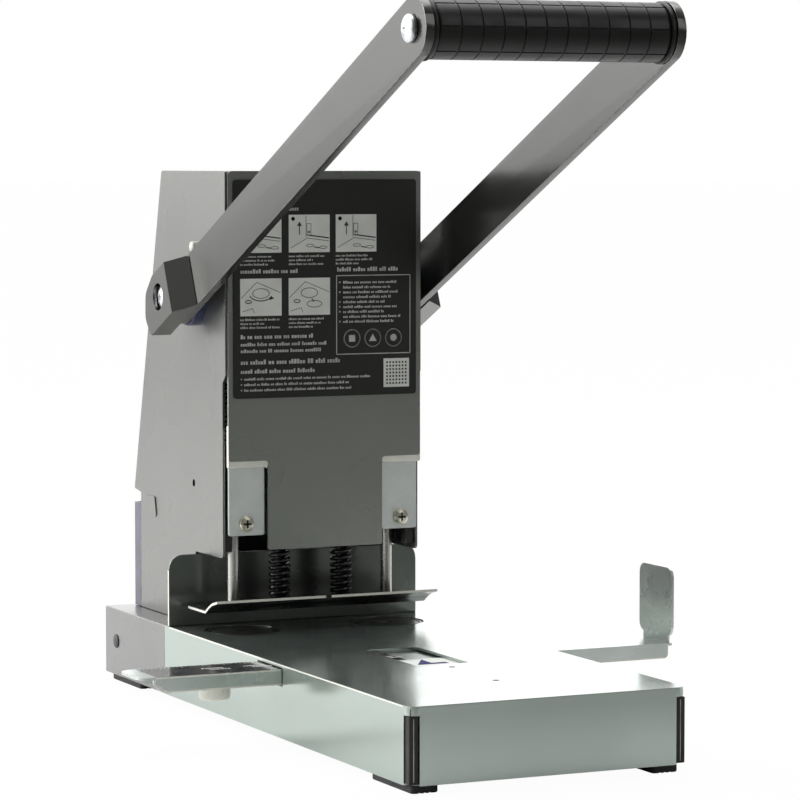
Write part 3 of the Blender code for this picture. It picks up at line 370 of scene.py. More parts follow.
def metals():
    """Bare, plated and tinted metals."""
    return {
        "zinc": finish("plated_zinc", (0.90, 0.94, 0.92), 0.30, 0.50,
                       [bloom((0.96, 0.98, 0.96), 0.6, 0.08, 240, 0.1), lines(ALONG_X, 0.15, 700),
                        smudges(0.06, 0.1, 60), wear((0.95, 0.96, 0.95), 0.7, 0.0004)], bump=0.000008),
        "guide": finish("guide_zinc", (0.58, 0.63, 0.60), 0.20, 1.0,
                        [bloom((0.68, 0.73, 0.70), 0.2, 0.04, 60, 0.0), lines(ALONG_X, 0.15, 700),
                         smudges(0.06, 0.08, 50), wear((0.95, 0.96, 0.94), 0.8, 0.0004)], bump=0.000004),
        "bolt": finish("bolt_zinc", (0.70, 0.73, 0.75), 0.20, 1.0,
                       [bloom((0.80, 0.84, 0.86), 0.4, 0.08, 300), lines(ROUND_X, 0.3, 1800),
                        smudges(0.06, 0.10, 120)], bump=0.00004),
        "screw": finish("screw_nickel", (0.80, 0.76, 0.62), 0.24, 1.0,
                        [bloom((0.88, 0.85, 0.74), 0.5, 0.08, 350), smudges(0.08, 0.15, 200),
                         wear((0.95, 0.92, 0.82), 0.5, 0.0003)], bump=0.00001),
        "rod": finish("polished_steel", (0.60, 0.59, 0.56), 0.22, 1.0,
                      [lines(ROUND_Z, 0.35, 1200, 0.05), smudges(0.08, 0.08, 80)], bump=0.000005),
        "machined": finish("machined_steel", (0.44, 0.43, 0.41), 0.30, 1.0,
                           [lines(ALONG_Z, 0.6, 1200), smudges(0.12, 0.18, 60),
                            wear((0.68, 0.66, 0.62), 0.6, 0.0004), scratches(0.4, scale=90)],
                           bump=0.00006),
        "shaft": finish("turned_shaft", (0.48, 0.47, 0.45), 0.24, 1.0,
                        [lines(ROUND_X, 0.5, 1600), smudges(0.12, 0.15, 60)], bump=0.00005),
        "blue": finish("tinted_steel", (0.150, 0.152, 0.178), 0.30, 0.85,
                       [bloom((0.20, 0.20, 0.25), 0.6, 0.10, 160), smudges(0.08, 0.12, 45),
                        wear(BARE_EDGE, 0.4), lines(ALONG_X, 0.3, 800)], bump=0.00005),
        "spring": finish("black_spring", (0.014, 0.013, 0.012), 0.16, 0.2,
                         [lines(ROUND_Z, 0.5, 900, 0.04), smudges(0.08, 0.0, 200)],
                         bump=0.000005, coat=1.0, coat_roughness=0.08),
        "collar": finish("collar_steel", (0.050, 0.056, 0.110), 0.26, 0.85,
                         [bloom((0.09, 0.10, 0.17), 0.6, 0.08, 200), lines(ROUND_X, 0.4, 1400),
                          smudges(0.08, 0.12, 70), wear(BARE_EDGE, 0.4)], bump=0.00003),
        "brass": finish("slide_brass", (0.62, 0.46, 0.20), 0.28, 1.0,
                        [lines(ALONG_Z, 0.5, 1100), smudges(0.12, 0.25, 90)], bump=0.00005),
        # Bare cut metal on sheet ends; the same bright finish paints the highlights along the cover's bends
        # and the guide's fold.
        "cut": finish("bare_metal_and_highlight", (0.86, 0.84, 0.76), 0.42, 0.25,
                      [lines(ALONG_X, 0.4, 1500), bloom((0.94, 0.93, 0.87), 0.4, 0.08, 300)],
                      bump=0.00002),
    }


def plastics():
    """Rubber, moulded plastics and inks."""
    return {
        "grip": finish("grip_rubber", (0.011, 0.011, 0.010), 0.32, 0.0,
                       [skin(900), smudges(0.12, 0.0, 60), dust(0.04),
                        wear((0.07, 0.07, 0.07), 0.5, 0.0005, 0.0), scratches(0.15, 0.1, 80)],
                       bump=0.00004),
        "foot": finish("foot_rubber", (0.022, 0.022, 0.022), 0.62, 0.0,
                       [skin(1200), smudges(0.1, 0.0, 80), dust(0.2),
                        wear((0.09, 0.09, 0.085), 0.5, 0.0004, 0.0)], bump=0.00012),
        "tray": finish("tray_plastic", (0.020, 0.020, 0.021), 0.38, 0.0,
                       [skin(1800), smudges(0.1, 0.0, 40), dust(0.15),
                        wear((0.10, 0.10, 0.10), 0.4, 0.0004, 0.0), scratches(0.3)], bump=0.00007),
        "board": finish("board_plastic", (0.050, 0.051, 0.048), 0.30, 0.0,
                        [skin(700), smudges(0.06, 0.0, 90), dust(0.10),
                         scratches(0.5, 0.10, 120)], bump=0.000006, coat=0.3, coat_roughness=0.20),
        "cream": finish("cream_plastic", (0.88, 0.87, 0.77), 0.34, 0.0,
                        [skin(1200, 0.8), smudges(0.08, 0.07, 70),
                         wear((0.86, 0.85, 0.78), 0.4, 0.0004, 0.0)], bump=0.00006),
        "label": finish("label_film", (0.014, 0.013, 0.012), 0.50, 0.0,
                        [skin(2500, 0.8), smudges(0.12, 0.0, 26), dust(0.1), scratches(0.3, 0.1, 70)],
                        bump=0.00002),
        "print": finish("label_print", (0.58, 0.58, 0.55), 0.50, 0.0,
                        [skin(3000, 0.6), smudges(0.06, 0.22, 140)], bump=0.00002),
        "picture": finish("picture_print", (0.84, 0.85, 0.80), 0.48, 0.0,
                          [skin(3000, 0.6), smudges(0.06, 0.08, 90)], bump=0.00002),
        "line": finish("picture_line", (0.045, 0.045, 0.042), 0.50, 0.0,
                       [skin(3000, 0.6), smudges(0.08, 0.0, 90)], bump=0.00002),
        "pointer": finish("pointer_ink", (0.020, 0.016, 0.150), 0.75, 0.0,
                          [skin(2500, 0.8), smudges(0.08, 0.15, 90)], bump=0.00003),
        "ink": finish("scale_ink", (0.016, 0.016, 0.022), 0.16, 0.0,
                      [skin(1500, 0.8), smudges(0.10, 0.0, 60), scratches(0.5, 0.15, 110)],
                      bump=0.00004, coat=0.5),
        "mark": finish("scale_mark", (0.78, 0.78, 0.76), 0.40, 0.0,
                       [skin(3000, 0.6), smudges(0.08, 0.14, 200)], bump=0.00002),
    }


FINISH = {**enamels(), **metals(), **plastics()}
CAD_FINISH = {
    "tower": ["front_panel"],
    "tower_side_shaded": ["side_plate_left", "side_plate_right", "top_cover", "rear_cover"],
    "arm": ["arm_left", "arm_right"],
    "hub": ["hub_cap_left", "hub_cap_right"],
    "base": ["base_cover"],
    "rear_shell": ["base_rear_shell", "bottom_plate"],
    "stop": ["stop_plate"],
    "black": ["pressure_plate", "head_rails_left", "head_rails_right", "plate_pin_left",
              "plate_pin_right", "board_plate"],
    "zinc": ["clamp_plate_left", "clamp_plate_right", "guide_channel", "spring_bracket"],
    "guide": ["guide_bar", "pointer_plate"],
    "rod": ["cutter_left", "cutter_right", "grip_core"],
    "machined": ["head_crossbar", "rack_left", "rack_right", "drive_pinion_left", "drive_pinion_right"],
    "shaft": ["main_shaft"],
    "blue": ["rear_bracket"],
    "collar": ["bushing_left", "bushing_right"],
    "brass": ["slide_block_left", "slide_block_right"],
    "tray": ["chip_tray"],
    "label": ["label_plate"],
}


# ---- shading of the pieces kept from the frame ----

def make_round_shading():
    """Geometry nodes that join a faceted solid's corners and shade its round stretches smooth."""
    tree = bpy.data.node_groups.new("round_shading", "GeometryNodeTree")
    tree.interface.new_socket("Geometry", in_out="INPUT", socket_type="NodeSocketGeometry")
    tree.interface.new_socket("Geometry", in_out="OUTPUT", socket_type="NodeSocketGeometry")
    start = tree.nodes.new("NodeGroupInput").outputs[0]
    plain = tree.nodes.new("GeometryNodeRemoveAttribute")
    plain.inputs["Name"].default_value = "custom_normal"
    joined = tree.nodes.new("GeometryNodeMergeByDistance")
    joined.inputs["Distance"].default_value = 1e-6
    smooth = tree.nodes.new("GeometryNodeSetShadeSmooth")
    angle = tree.nodes.new("GeometryNodeInputMeshEdgeAngle")
    wide = tree.nodes.new("FunctionNodeCompare")
    wide.operation = "GREATER_THAN"
    wide.inputs["B"].default_value = math.radians(50)
    sharp = tree.nodes.new("GeometryNodeSetShadeSmooth")
    sharp.domain = "EDGE"
    sharp.inputs["Shade Smooth"].default_value = False
    last = tree.nodes.new("NodeGroupOutput").inputs[0]
    for a, b in ((start, plain.inputs[0]), (plain.outputs[0], joined.inputs["Geometry"]),
                 (joined.outputs[0], smooth.inputs["Geometry"]),
                 (smooth.outputs[0], sharp.inputs["Geometry"]),
                 (angle.outputs["Unsigned Angle"], wide.inputs["A"]),
                 (wide.outputs[0], sharp.inputs["Selection"]), (sharp.outputs[0], last)):
        tree.links.new(a, b)
    return tree


def finish_frame_pieces():
    shading = make_round_shading()
    for key, names in CAD_FINISH.items():
        for name in names:
            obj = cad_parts[name]
            obj.data.materials.clear()
            obj.data.materials.append(FINISH[key])
            obj.modifiers.new("round_shading", "NODES").node_group = shading
            flat = obj.modifiers.new("flat_faces", "WEIGHTED_NORMAL")
            flat.keep_sharp = True
            flat.weight = 100


# ---- meshes ----

SHARP_ANGLE = 32.0

def mesh_of(bm, smooth=True, angle=SHARP_ANGLE):
    mesh = bpy.data.meshes.new("mesh")
    bm.to_mesh(mesh)
    bm.free()
    if smooth:
        mesh.shade_smooth()
        mesh.set_sharp_from_angle(angle=math.radians(angle))
    return mesh


def piece(name, mesh, body, key):
    """A shown piece that rides on a body, with one of the finishes."""
    mesh.name = name
    mesh.materials.clear()
    mesh.materials.append(FINISH[key])
    obj = bpy.data.objects.new(name, mesh)
    bpy.context.scene.collection.objects.link(obj)
    if body:
        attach(obj, body)
    return obj


TURN = {
    "X": Matrix(((0, 0, 1), (1, 0, 0), (0, 1, 0))).to_4x4(),
    "Y": Matrix(((1, 0, 0), (0, 0, -1), (0, 1, 0))).to_4x4(),
    "Z": Matrix.Identity(4),
}


def turned(profile, axis, centre, steps, flip=False):
    """(radius, height) profile turned about an axis through centre; open ends meet on the axis."""
    bm = bmesh.new()
    rings = []
    for r, h in profile:
        if r < 1e-9:
            rings.append([bm.verts.new((0, 0, h))])
            continue
        around = [2 * math.pi * k / steps for k in range(steps)]
        rings.append([bm.verts.new((r * math.cos(a), r * math.sin(a), h)) for a in around])
    for one, two in zip(rings, rings[1:]):
        for k in range(steps):
            corners = [one[k % len(one)], one[(k + 1) % len(one)], two[(k + 1) % len(two)],
                       two[k % len(two)]]
            corners = list(dict.fromkeys(corners))
            if len(corners) > 2:
                bm.faces.new(corners)
    place = Matrix.Translation(centre) @ TURN[axis]
    if flip:
        place = place @ Matrix.Rotation(math.pi, 4, "X")
    bm.transform(place)
    bmesh.ops.recalc_face_normals(bm, faces=bm.faces)
    return mesh_of(bm)


def arc_corners(corners, steps=4):
    """Outline through (x, y, radius) corners, each turned into an arc of that radius."""
    points = []
    for i, (x, y, radius) in enumerate(corners):
        here = Vector((x, y))
        if radius == 0:
            points.append((x, y))
            continue
        before = (Vector(corners[i - 1][:2]) - here).normalized()
        after = (Vector(corners[(i + 1) % len(corners)][:2]) - here).normalized()
        half = before.angle(after) / 2
        centre = here + (before + after).normalized() * (radius / math.sin(half))
        start = here + before * (radius / math.tan(half)) - centre
        sweep = start.angle_signed(here + after * (radius / math.tan(half)) - centre)
        points += [tuple(centre + Matrix.Rotation(-sweep * k / steps, 2) @ start) for k in range(steps + 1)]
    return points


def rectangle(x0, y0, x1, y1, radius=0.0, steps=4):
    return arc_corners([(x0, y0, radius), (x1, y0, radius), (x1, y1, radius), (x0, y1, radius)], steps)


def slab(outline, axis, low, high, soften=0.0):
    """Flat outline pushed from low to high along an axis, its edges rounded."""
    curve = bpy.data.curves.new("outline", "CURVE")
    curve.dimensions = "2D"
    curve.fill_mode = "BOTH"
    curve.extrude = abs(high - low) / 2
    spline = curve.splines.new("POLY")
    spline.points.add(len(outline) - 1)
    for point, (x, y) in zip(spline.points, outline):
        point.co = (x, y, 0, 1)
    spline.use_cyclic_u = True
    obj = bpy.data.objects.new("outline", curve)
    bpy.context.scene.collection.objects.link(obj)
    bpy.context.view_layer.update()
    made = bpy.data.meshes.new_from_object(obj.evaluated_get(bpy.context.evaluated_depsgraph_get()))
    bpy.data.objects.remove(obj, do_unlink=True)
    bm = bmesh.new()
    bm.from_mesh(made)
    bmesh.ops.remove_doubles(bm, verts=bm.verts, dist=1e-7)
    bmesh.ops.dissolve_limit(bm, angle_limit=math.radians(1), verts=bm.verts, edges=bm.edges)
    if soften:
        edges = [e for e in bm.edges if e.is_manifold and e.calc_face_angle() > math.radians(40)]
        bmesh.ops.bevel(bm, geom=edges, offset=soften, segments=2, affect="EDGES", clamp_overlap=True)
    along = Vector({"X": (1, 0, 0), "Y": (0, 1, 0), "Z": (0, 0, 1)}[axis])
    bm.transform(Matrix.Translation(along * ((low + high) / 2)) @ TURN[axis])
    bmesh.ops.recalc_face_normals(bm, faces=bm.faces)
    return mesh_of(bm)


def carve(mesh, *cutters):
    """Mesh with other meshes cut out of it."""
    scene = bpy.context.scene.collection
    obj = bpy.data.objects.new("blank", mesh)
    scene.objects.link(obj)
    tools = []
    for cutter in cutters:
        tool = bpy.data.objects.new("cutter", cutter)
        scene.objects.link(tool)
        tools.append(tool)
        cut = obj.modifiers.new("cut", "BOOLEAN")
        cut.operation = "DIFFERENCE"
        cut.object = tool
    bpy.context.view_layer.update()
    made = bpy.data.meshes.new_from_object(obj.evaluated_get(bpy.context.evaluated_depsgraph_get()))
    for o in (obj, *tools):
        bpy.data.objects.remove(o, do_unlink=True)
    made.shade_smooth()
    made.set_sharp_from_angle(angle=math.radians(SHARP_ANGLE))
    return made


def joined(meshes):
    bm = bmesh.new()
    for mesh in meshes:
        bm.from_mesh(mesh)
    return mesh_of(bm)


def loft(bm, rings, capped=True):
    """Faces from each ring of corners to the next, with the first and last ring closed if capped."""
    for one, two in zip(rings, rings[1:]):
        for k in range(len(one)):
            n = (k + 1) % len(one)
            bm.faces.new((one[k], one[n], two[n], two[k]))
    if capped:
        bm.faces.new(rings[0])
        bm.faces.new(rings[-1])
    bmesh.ops.recalc_face_normals(bm, faces=bm.faces)


def wound(centre, radius, wire, low, high, turns):
    """Spring wire as a swept tube, its first and last turns closed up."""
    bm = bmesh.new()
    per_turn, sides = 28, 10
    count = turns * per_turn
    closed_turns = 1.0
    end_rise = wire * 2.1
    middle_rise = (high - low - 2 * wire - 2 * closed_turns * end_rise) / (turns - 2 * closed_turns)
    rings = []
    for k in range(count + 1):
        angle = 2 * math.pi * k / per_turn
        turn = k / per_turn
        if turn < closed_turns:
            z = turn * end_rise
        elif turn > turns - closed_turns:
            z = high - low - 2 * wire - (turns - turn) * end_rise
        else:
            z = closed_turns * end_rise + (turn - closed_turns) * middle_rise
        out = Vector((math.cos(angle), math.sin(angle), 0))
        middle = Vector((centre[0], centre[1], low + wire + z)) + out * radius
        ring = []
        for s in range(sides):
            b = 2 * math.pi * s / sides
            ring.append(bm.verts.new(middle + wire * (out * math.cos(b) + Vector((0, 0, math.sin(b))))))
        rings.append(ring)
    loft(bm, rings)
    return mesh_of(bm, angle=50)


def middle_of(node):
    low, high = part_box(node)
    return (low + high) / 2


# ---- grip ----

def groove(distance, half_width, depth):
    """Depth of a round-bottomed groove at a distance from its middle."""
    if abs(distance) >= half_width:
        return 0.0
    return depth * math.sqrt(max(0.0, 1 - (distance / half_width) ** 2))


def build_grip():
    low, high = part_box("grip_sleeve")
    centre = (low + high) / 2
    end = high.x - 0.05 * MM
    flange_r = (high.z - low.z) / 2
    body_r = flange_r - 0.7 * MM
    bore_r = 7.3 * MM
    sleeve_end = 53.1 * MM
    ring_pitch, ring_half, ring_depth = 9.65 * MM, 0.42 * MM, 0.55 * MM
    long_count, long_first, long_half, long_depth = 7, math.radians(3.0), 0.40 * MM, 0.50 * MM
    rings = [ring_pitch * (k - 4.5) for k in range(10)]
    across = (-1.6, -1.0, -0.8, -0.45, 0.0, 0.45, 0.8, 1.0, 1.6)
    stations = [-end, -end + 0.4 * MM, -end + 1.0 * MM, -end + 1.5 * MM, -end + 1.9 * MM,
                -end + 2.3 * MM, -sleeve_end, -sleeve_end + 0.25 * MM,
                -sleeve_end + 0.6 * MM, -sleeve_end + 1.2 * MM]
    stations += [-x for x in stations]
    for x in rings:
        stations += [x + ring_half * f for f in across]
        stations.append(x + ring_pitch / 2)
    stations = sorted(set(round(x, 7) for x in stations if abs(x) <= end))
    angles = []
    for k in range(long_count):
        middle = long_first + 2 * math.pi * k / long_count
        width = long_half / body_r
        angles += [middle + width * f for f in across]
        angles += [middle + 2 * math.pi / long_count * f for f in (0.2, 0.3, 0.4, 0.5, 0.6, 0.7, 0.8)]

    def outer(x, a):
        """Radius of the sleeve at a place along it and an angle round it."""
        ax = abs(x)
        if ax > sleeve_end:
            if ax > end - 2.0 * MM:
                t = (ax - (end - 1.0 * MM)) / (1.0 * MM)
                return flange_r - 0.35 * MM * t * t
            return body_r - 1.3 * MM
        depth = max(groove(x - ring, ring_half, ring_depth) for ring in rings)
        for k in range(long_count):
            off = (a - long_first - 2 * math.pi * k / long_count + math.pi) % (2 * math.pi) - math.pi
            depth = max(depth, groove(off * body_r, long_half, long_depth))
        shoulder = max(0.0, 1 - (sleeve_end - ax) / (0.8 * MM))
        return body_r - depth - 0.5 * MM * shoulder * shoulder

    bm = bmesh.new()
    grid = []
    for x in stations:
        ring = []
        for a in angles:
            r = outer(x, a)
            ring.append(bm.verts.new((centre.x + x, centre.y - r * math.cos(a), centre.z + r * math.sin(a))))
        grid.append(ring)
    bores = []
    for x in (-end, end):
        bores.append([bm.verts.new((centre.x + x, centre.y - bore_r * math.cos(a),
                                    centre.z + bore_r * math.sin(a))) for a in angles])
    loft(bm, [bores[0], *grid, bores[1], bores[0]], capped=False)
    sleeve = piece("ribbed_grip", mesh_of(bm, angle=40), "lever", "grip")
    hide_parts("grip_sleeve")


# ---- screws and bolts ----

def dome(radius, height, rim, steps=10):
    """Profile of a domed head standing on its rim, from the axis outwards."""
    points = [(radius * math.sin(math.pi / 2 * k / steps),
               rim + (height - rim) * math.cos(math.pi / 2 * k / steps)) for k in range(steps + 1)]
    return points + [(radius, rim * 0.3), (radius - 0.12 * MM, 0)]


def button(radius, height, rim):
    """Profile of a low domed head that closes flat on the axis below."""
    return dome(radius, height, rim) + [(0, 0)]


def cross_cutters(axis, centre, out, reach, width, depth):
    """Two tapered bars that cut a cross recess into a head whose top faces along out."""
    bars = []
    side, up = {"X": ((0, 1, 0), (0, 0, 1)), "Y": ((1, 0, 0), (0, 0, 1))}[axis]
    for one, two in ((Vector(side), Vector(up)), (Vector(up), Vector(side))):
        bm = bmesh.new()
        bmesh.ops.create_cube(bm, size=1)
        normal = Vector(out)
        for v in bm.verts:
            taper = 1.0 if v.co.z > 0 else 0.55
            v.co = (one * (v.co.x * 2 * reach * taper) + two * (v.co.y * width * taper)
                    + normal * (v.co.z * 2 * depth))
        bmesh.ops.translate(bm, vec=Vector(centre), verts=bm.verts)
        bmesh.ops.recalc_face_normals(bm, faces=bm.faces)
        bars.append(mesh_of(bm))
    return bars


def build_bolts():
    for out, word in SIDES:
        for node, name, reach in (("hub_bolt_", "hub_screw_", 2.0), ("grip_bolt_", "grip_screw_", 2.2)):
            low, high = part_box(node + word)
            centre = (low + high) / 2
            radius = (high.z - low.z) / 2
            face = high.x if out > 0 else low.x
            shank = low.x if out > 0 else high.x
            hub = node == "hub_bolt_"
            face += out * 2.4 * MM * hub
            seat_depth = 5.8 * MM if hub else 3.2 * MM
            shank_r = 3.0 * MM if hub else 4.0 * MM
            length = abs(face - shank)
            profile = dome(radius, seat_depth - 0.05 * MM, seat_depth * (0.7 if hub else 0.35))
            profile += [(shank_r, 0), (shank_r, seat_depth - length + 0.4 * MM),
                        (shank_r - 0.4 * MM, seat_depth - length), (0, seat_depth - length)]
            seat = Vector((face - out * seat_depth, centre.y, centre.z))
            head = turned(profile, "X", seat, 56, flip=out < 0)
            cut = cross_cutters("X", Vector((face, centre.y, centre.z)), (out, 0, 0), reach * MM,
                                0.9 * MM, 1.5 * MM)
            bolt = piece(name + word, carve(head, *cut), "lever", "bolt")
            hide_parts(node + word)


def build_clamp_screws():
    for word in ("left", "right"):
        low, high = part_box("clamp_screw_" + word)
        centre = (low + high) / 2
        radius = (high.x - low.x) / 2
        head_t = 2.2 * MM
        seat = low.y + head_t
        length = high.y - low.y
        profile = dome(radius, head_t - 0.02 * MM, head_t * 0.55)
        profile += [(2.0 * MM, 0), (2.0 * MM, head_t - length + 0.4 * MM), (1.6 * MM, head_t - length),
                    (0, head_t - length)]
        head = turned(profile, "Y", (centre.x, seat, centre.z), 56)
        cut = cross_cutters("Y", (centre.x, low.y, centre.z), (0, -1, 0), 2.7 * MM, 1.3 * MM, 1.6 * MM)
        screw = piece("cross_screw_" + word, carve(head, *cut), "punch_head", "screw")
        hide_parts("clamp_screw_" + word)
        # Dark cross-shaped slabs sunk into each screw's recess: painted shade for the dark recess walls.
        bars = [rectangle(centre.x - x, centre.z - z, centre.x + x, centre.z + z)
                for x, z in ((1.85 * MM, 0.44 * MM), (0.44 * MM, 1.85 * MM))]
        recess_shade = joined([slab(bar, "Y", low.y + 0.45 * MM, low.y + 0.7 * MM) for bar in bars])
        piece("cross_recess_shade_" + word, recess_shade, "punch_head", "foot")


def build_rear_screws():
    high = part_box("rear_bracket")[1]
    for side, word in SIDES:
        for up, level in ((12 * MM, "low"), (40 * MM, "high")):
            at = Vector((side * 0.7 * high.x, high.y, BASE_TOP + up))
            head_t = 1.9 * MM
            head = turned(button(3.6 * MM, head_t, 0.7 * MM), "Y", (at.x, at.y + PROUD, at.z), 48, flip=True)
            cut = cross_cutters("Y", (at.x, at.y + head_t, at.z), (0, 1, 0), 2.0 * MM, 0.85 * MM,
                                1.2 * MM)
            piece(f"rear_screw_{level}_{word}", carve(head, *cut), "frame", "screw")


# ---- springs ----

def build_springs():
    for word in ("left", "right"):
        for node, name, wire, turns, bodies in (
                ("pressure_spring_", "press_coil_", 1.2, 11, ("pressure_plate", "punch_head")),
                ("return_spring_", "return_coil_", 0.55, 12, ("punch_head", "frame"))):
            low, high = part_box(node + word)
            centre = (low + high) / 2
            radius = (high.y - low.y) / 2 - wire * MM
            mesh = wound((centre.x, centre.y), radius, wire * MM, low.z, high.z, turns)
            coil = piece(name + word, mesh, None, "spring")
            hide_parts(node + word)
            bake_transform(coil)


# ---- boards, feet, knob ----

def build_boards():
    for word in ("left", "right"):
        low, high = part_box("punch_board_" + word)
        centre = (low + high) / 2
        r = (high.x - low.x) / 2
        top, under = high.z, low.z
        rim = 1.7 * MM
        profile = [(0, top - 0.25 * MM), (3.0 * MM, top - 0.25 * MM), (3.3 * MM, top - 0.05 * MM),
                   (r - rim - 0.9 * MM, top - 0.05 * MM), (r - rim - 0.6 * MM, top - 0.40 * MM),
                   (r - rim - 0.1 * MM, top - 0.40 * MM), (r - rim + 0.2 * MM, top),
                   (r - 0.5 * MM, top), (r - 0.12 * MM, top - 0.12 * MM), (r, top - 0.5 * MM),
                   (r, under + 0.3 * MM), (r - 0.3 * MM, under), (0, under)]
        board = piece("cutting_board_" + word, turned(profile, "Z", (centre.x, centre.y, 0), 96),
                      "board_" + word, "board")
        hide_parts("punch_board_" + word)


def build_feet():
    for end in ("front", "rear"):
        for word in ("left", "right"):
            node = f"foot_{end}_{word}"
            low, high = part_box(node)
            outline = rectangle(low.x, low.y, high.x, high.y, 2.0 * MM, 6)
            pad = slab(outline, "Z", low.z, high.z, 0.35 * MM)
            middle = (low.x + high.x) / 2
            cuts = [slab(rectangle(middle + off - 0.45 * MM, low.y - 1 * MM, middle + off + 0.45 * MM,
                                   high.y + 1 * MM), "Z", low.z - 1 * MM, low.z + 0.8 * MM)
                    for off in (-2.4 * MM, 0, 2.4 * MM)]
            side = slab([(low.y - 1 * MM, low.z + 1.6 * MM), (high.y + 1 * MM, low.z + 1.6 * MM),
                         (high.y + 1 * MM, low.z + 2.1 * MM), (low.y - 1 * MM, low.z + 2.1 * MM)],
                        "X", high.x - 0.4 * MM, high.x + 1 * MM)
            foot = piece("ribbed_" + node, carve(pad, *cuts, side), "frame", "foot")
            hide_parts(node)


def build_knob():
    low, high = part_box("guide_knob")
    centre = (low + high) / 2
    r = (high.x - low.x) / 2
    shoulder = GUIDE_LOW.z - 0.3 * MM
    profile = [(0, high.z), (r * 0.5, high.z), (r * 0.5, shoulder + 0.4 * MM), (r - 0.6 * MM, shoulder),
               (r, shoulder - 0.6 * MM), (r, low.z + 1.4 * MM), (r - 0.4 * MM, low.z + 0.5 * MM),
               (r - 1.3 * MM, low.z), (r - 3.0 * MM, low.z), (r - 3.3 * MM, low.z + 0.5 * MM),
               (0, low.z + 0.6 * MM)]
    body = turned(profile, "Z", (centre.x, centre.y, 0), 96)
    flutes = []
    for k in range(24):
        a = 2 * math.pi * k / 24
        at = (centre.x + (r + 0.33 * MM) * math.cos(a), centre.y + (r + 0.33 * MM) * math.sin(a), 0)
        flutes.append(turned([(0, shoulder - 1.0 * MM), (0.45 * MM, shoulder - 1.2 * MM),
                              (0.45 * MM, low.z - 1 * MM), (0, low.z - 1 * MM)], "Z", at, 10))
    knob = piece("fluted_knob", carve(body, *flutes), "paper_guide", "cream")
    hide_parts("guide_knob")


# ---- trim on the base and the tower ----

def build_base_trim():
    """Corner posts with a bright slide in their slot, and a plug low on each side."""
    inner, slot_x, outer = 60.3 * MM, 62.4 * MM, 64.5 * MM
    front, back = BASE_LOW.y + 0.5 * MM, BASE_LOW.y + 4.7 * MM
    low, high = BASE_LOW.z + 0.6 * MM, BASE_TOP - 4.3 * MM
    for side, word in SIDES:
        middle = side * slot_x
        left, right = sorted((side * inner, side * outer))
        post = slab(rectangle(left, front, right, back, 0.6 * MM), "Z", low, high, 0.2 * MM)
        slot = slab(rectangle(middle - 0.35 * MM, front - 1 * MM, middle + 0.35 * MM, front + 0.8 * MM),
                    "Z", low + 0.8 * MM, high - 0.8 * MM)
        piece("corner_post_" + word, carve(post, slot), "frame", "foot")
        strip = slab(rectangle(middle - 0.25 * MM, front + 0.25 * MM, middle + 0.25 * MM,
                               front + 0.75 * MM), "Z", low + 1.0 * MM, high - 1.0 * MM, 0.05 * MM)
        piece("corner_slide_" + word, strip, "frame", "machined")
        at = (side * (BASE_HIGH.x + PROUD), STOP_FRONT + 72.1 * MM, BASE_TOP - 16 * MM)
        plug = turned(button(3.4 * MM, 0.9 * MM, 0.3 * MM), "X", at, 48, flip=side < 0)
        piece("side_plug_" + word, plug, "frame", "tray")


def build_tower_trim():
    """The pale stop rivet behind each arm and the tab low on each side plate."""
    pivot = middle_of("main_shaft")
    corners = ((53, 47), (69, 47), (67, 57), (55, 57))
    for side, word in SIDES:
        start = side * (SIDE_FACE + PROUD)
        at = (start, pivot.y - 4.0 * MM, pivot.z + 23.5 * MM)
        rivet = turned(button(2.7 * MM, 4.6 * MM, 3.4 * MM), "X", at, 48, flip=side < 0)
        piece("stop_rivet_" + word, rivet, "frame", "cream")
        near, far = sorted((start, start + side * 0.5 * MM))
        tab = arc_corners([(STOP_FRONT + y * MM, BASE_TOP + z * MM, 1.5 * MM) for y, z in corners])
        piece("side_tab_" + word, slab(tab, "X", near, far, 0.15 * MM), "frame", "tower_side_shaded")


def bare_edge_and_highlight_strip(name, section, axis, low, high, body):
    """A thin bright strip: bare cut metal on the end of a sheet, and a painted highlight along a bend."""
    piece(name, slab(section, axis, low, high), body, "cut")


def build_bare_edges():
    """Cut edges of the black plates, where the enamel has left the metal bare."""
    skin_t = 0.03 * MM
    low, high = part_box("pressure_plate")
    run = [(-4.6, 0.05), (-26.4, 0.05), (-31.5, 3.05), (-35.0, 4.65), (-41.4, 6.2), (-41.3, 7.3),
           (-35.1, 5.85), (-31.2, 4.1), (-26.2, 1.15), (-4.6, 1.15)]
    section = [(STOP_FRONT + a * MM, low.z + b * MM) for a, b in run]
    panel_low, panel_high = BASE_TOP + 78.4 * MM, BASE_TOP + 98.0 * MM
    for side, word in SIDES:
        x = low.x if side < 0 else high.x
        ends = sorted((x - side * 0.01 * MM, x + side * skin_t))
        bare_edge_and_highlight_strip("plate_end_" + word, section, "X", *ends, "pressure_plate")
        inner, outer = sorted((side * 1.6 * MM, side * (high.x - 0.1 * MM)))
        lip = [(low.y + 0.02 * MM, high.z - 1.18 * MM), (low.y - skin_t, high.z - 1.12 * MM),
               (low.y - skin_t + 0.22 * MM, high.z - 0.03 * MM), (low.y + 0.3 * MM, high.z - 0.03 * MM)]
        bare_edge_and_highlight_strip("plate_lip_" + word, lip, "X", inner, outer, "pressure_plate")
        edge = rectangle(STOP_LOW.y + 0.1 * MM, BASE_TOP + 0.4 * MM, STOP_HIGH.y - 0.1 * MM,
                         STOP_HIGH.z - 7.2 * MM)
        ends = sorted((side * (STOP_HIGH.x - 0.01 * MM), side * (STOP_HIGH.x + skin_t)))
        bare_edge_and_highlight_strip("stop_edge_" + word, edge, "X", *ends, "frame")
        edge = rectangle(PANEL_LOW.y + 0.05 * MM, panel_low, PANEL_LOW.y + 2.3 * MM, panel_high, 0.5 * MM)
        ends = sorted((side * (PANEL_HIGH.x - 0.25 * MM), side * (PANEL_HIGH.x + 0.04 * MM)))
        bare_edge_and_highlight_strip("panel_edge_" + word, edge, "X", *ends, "frame")


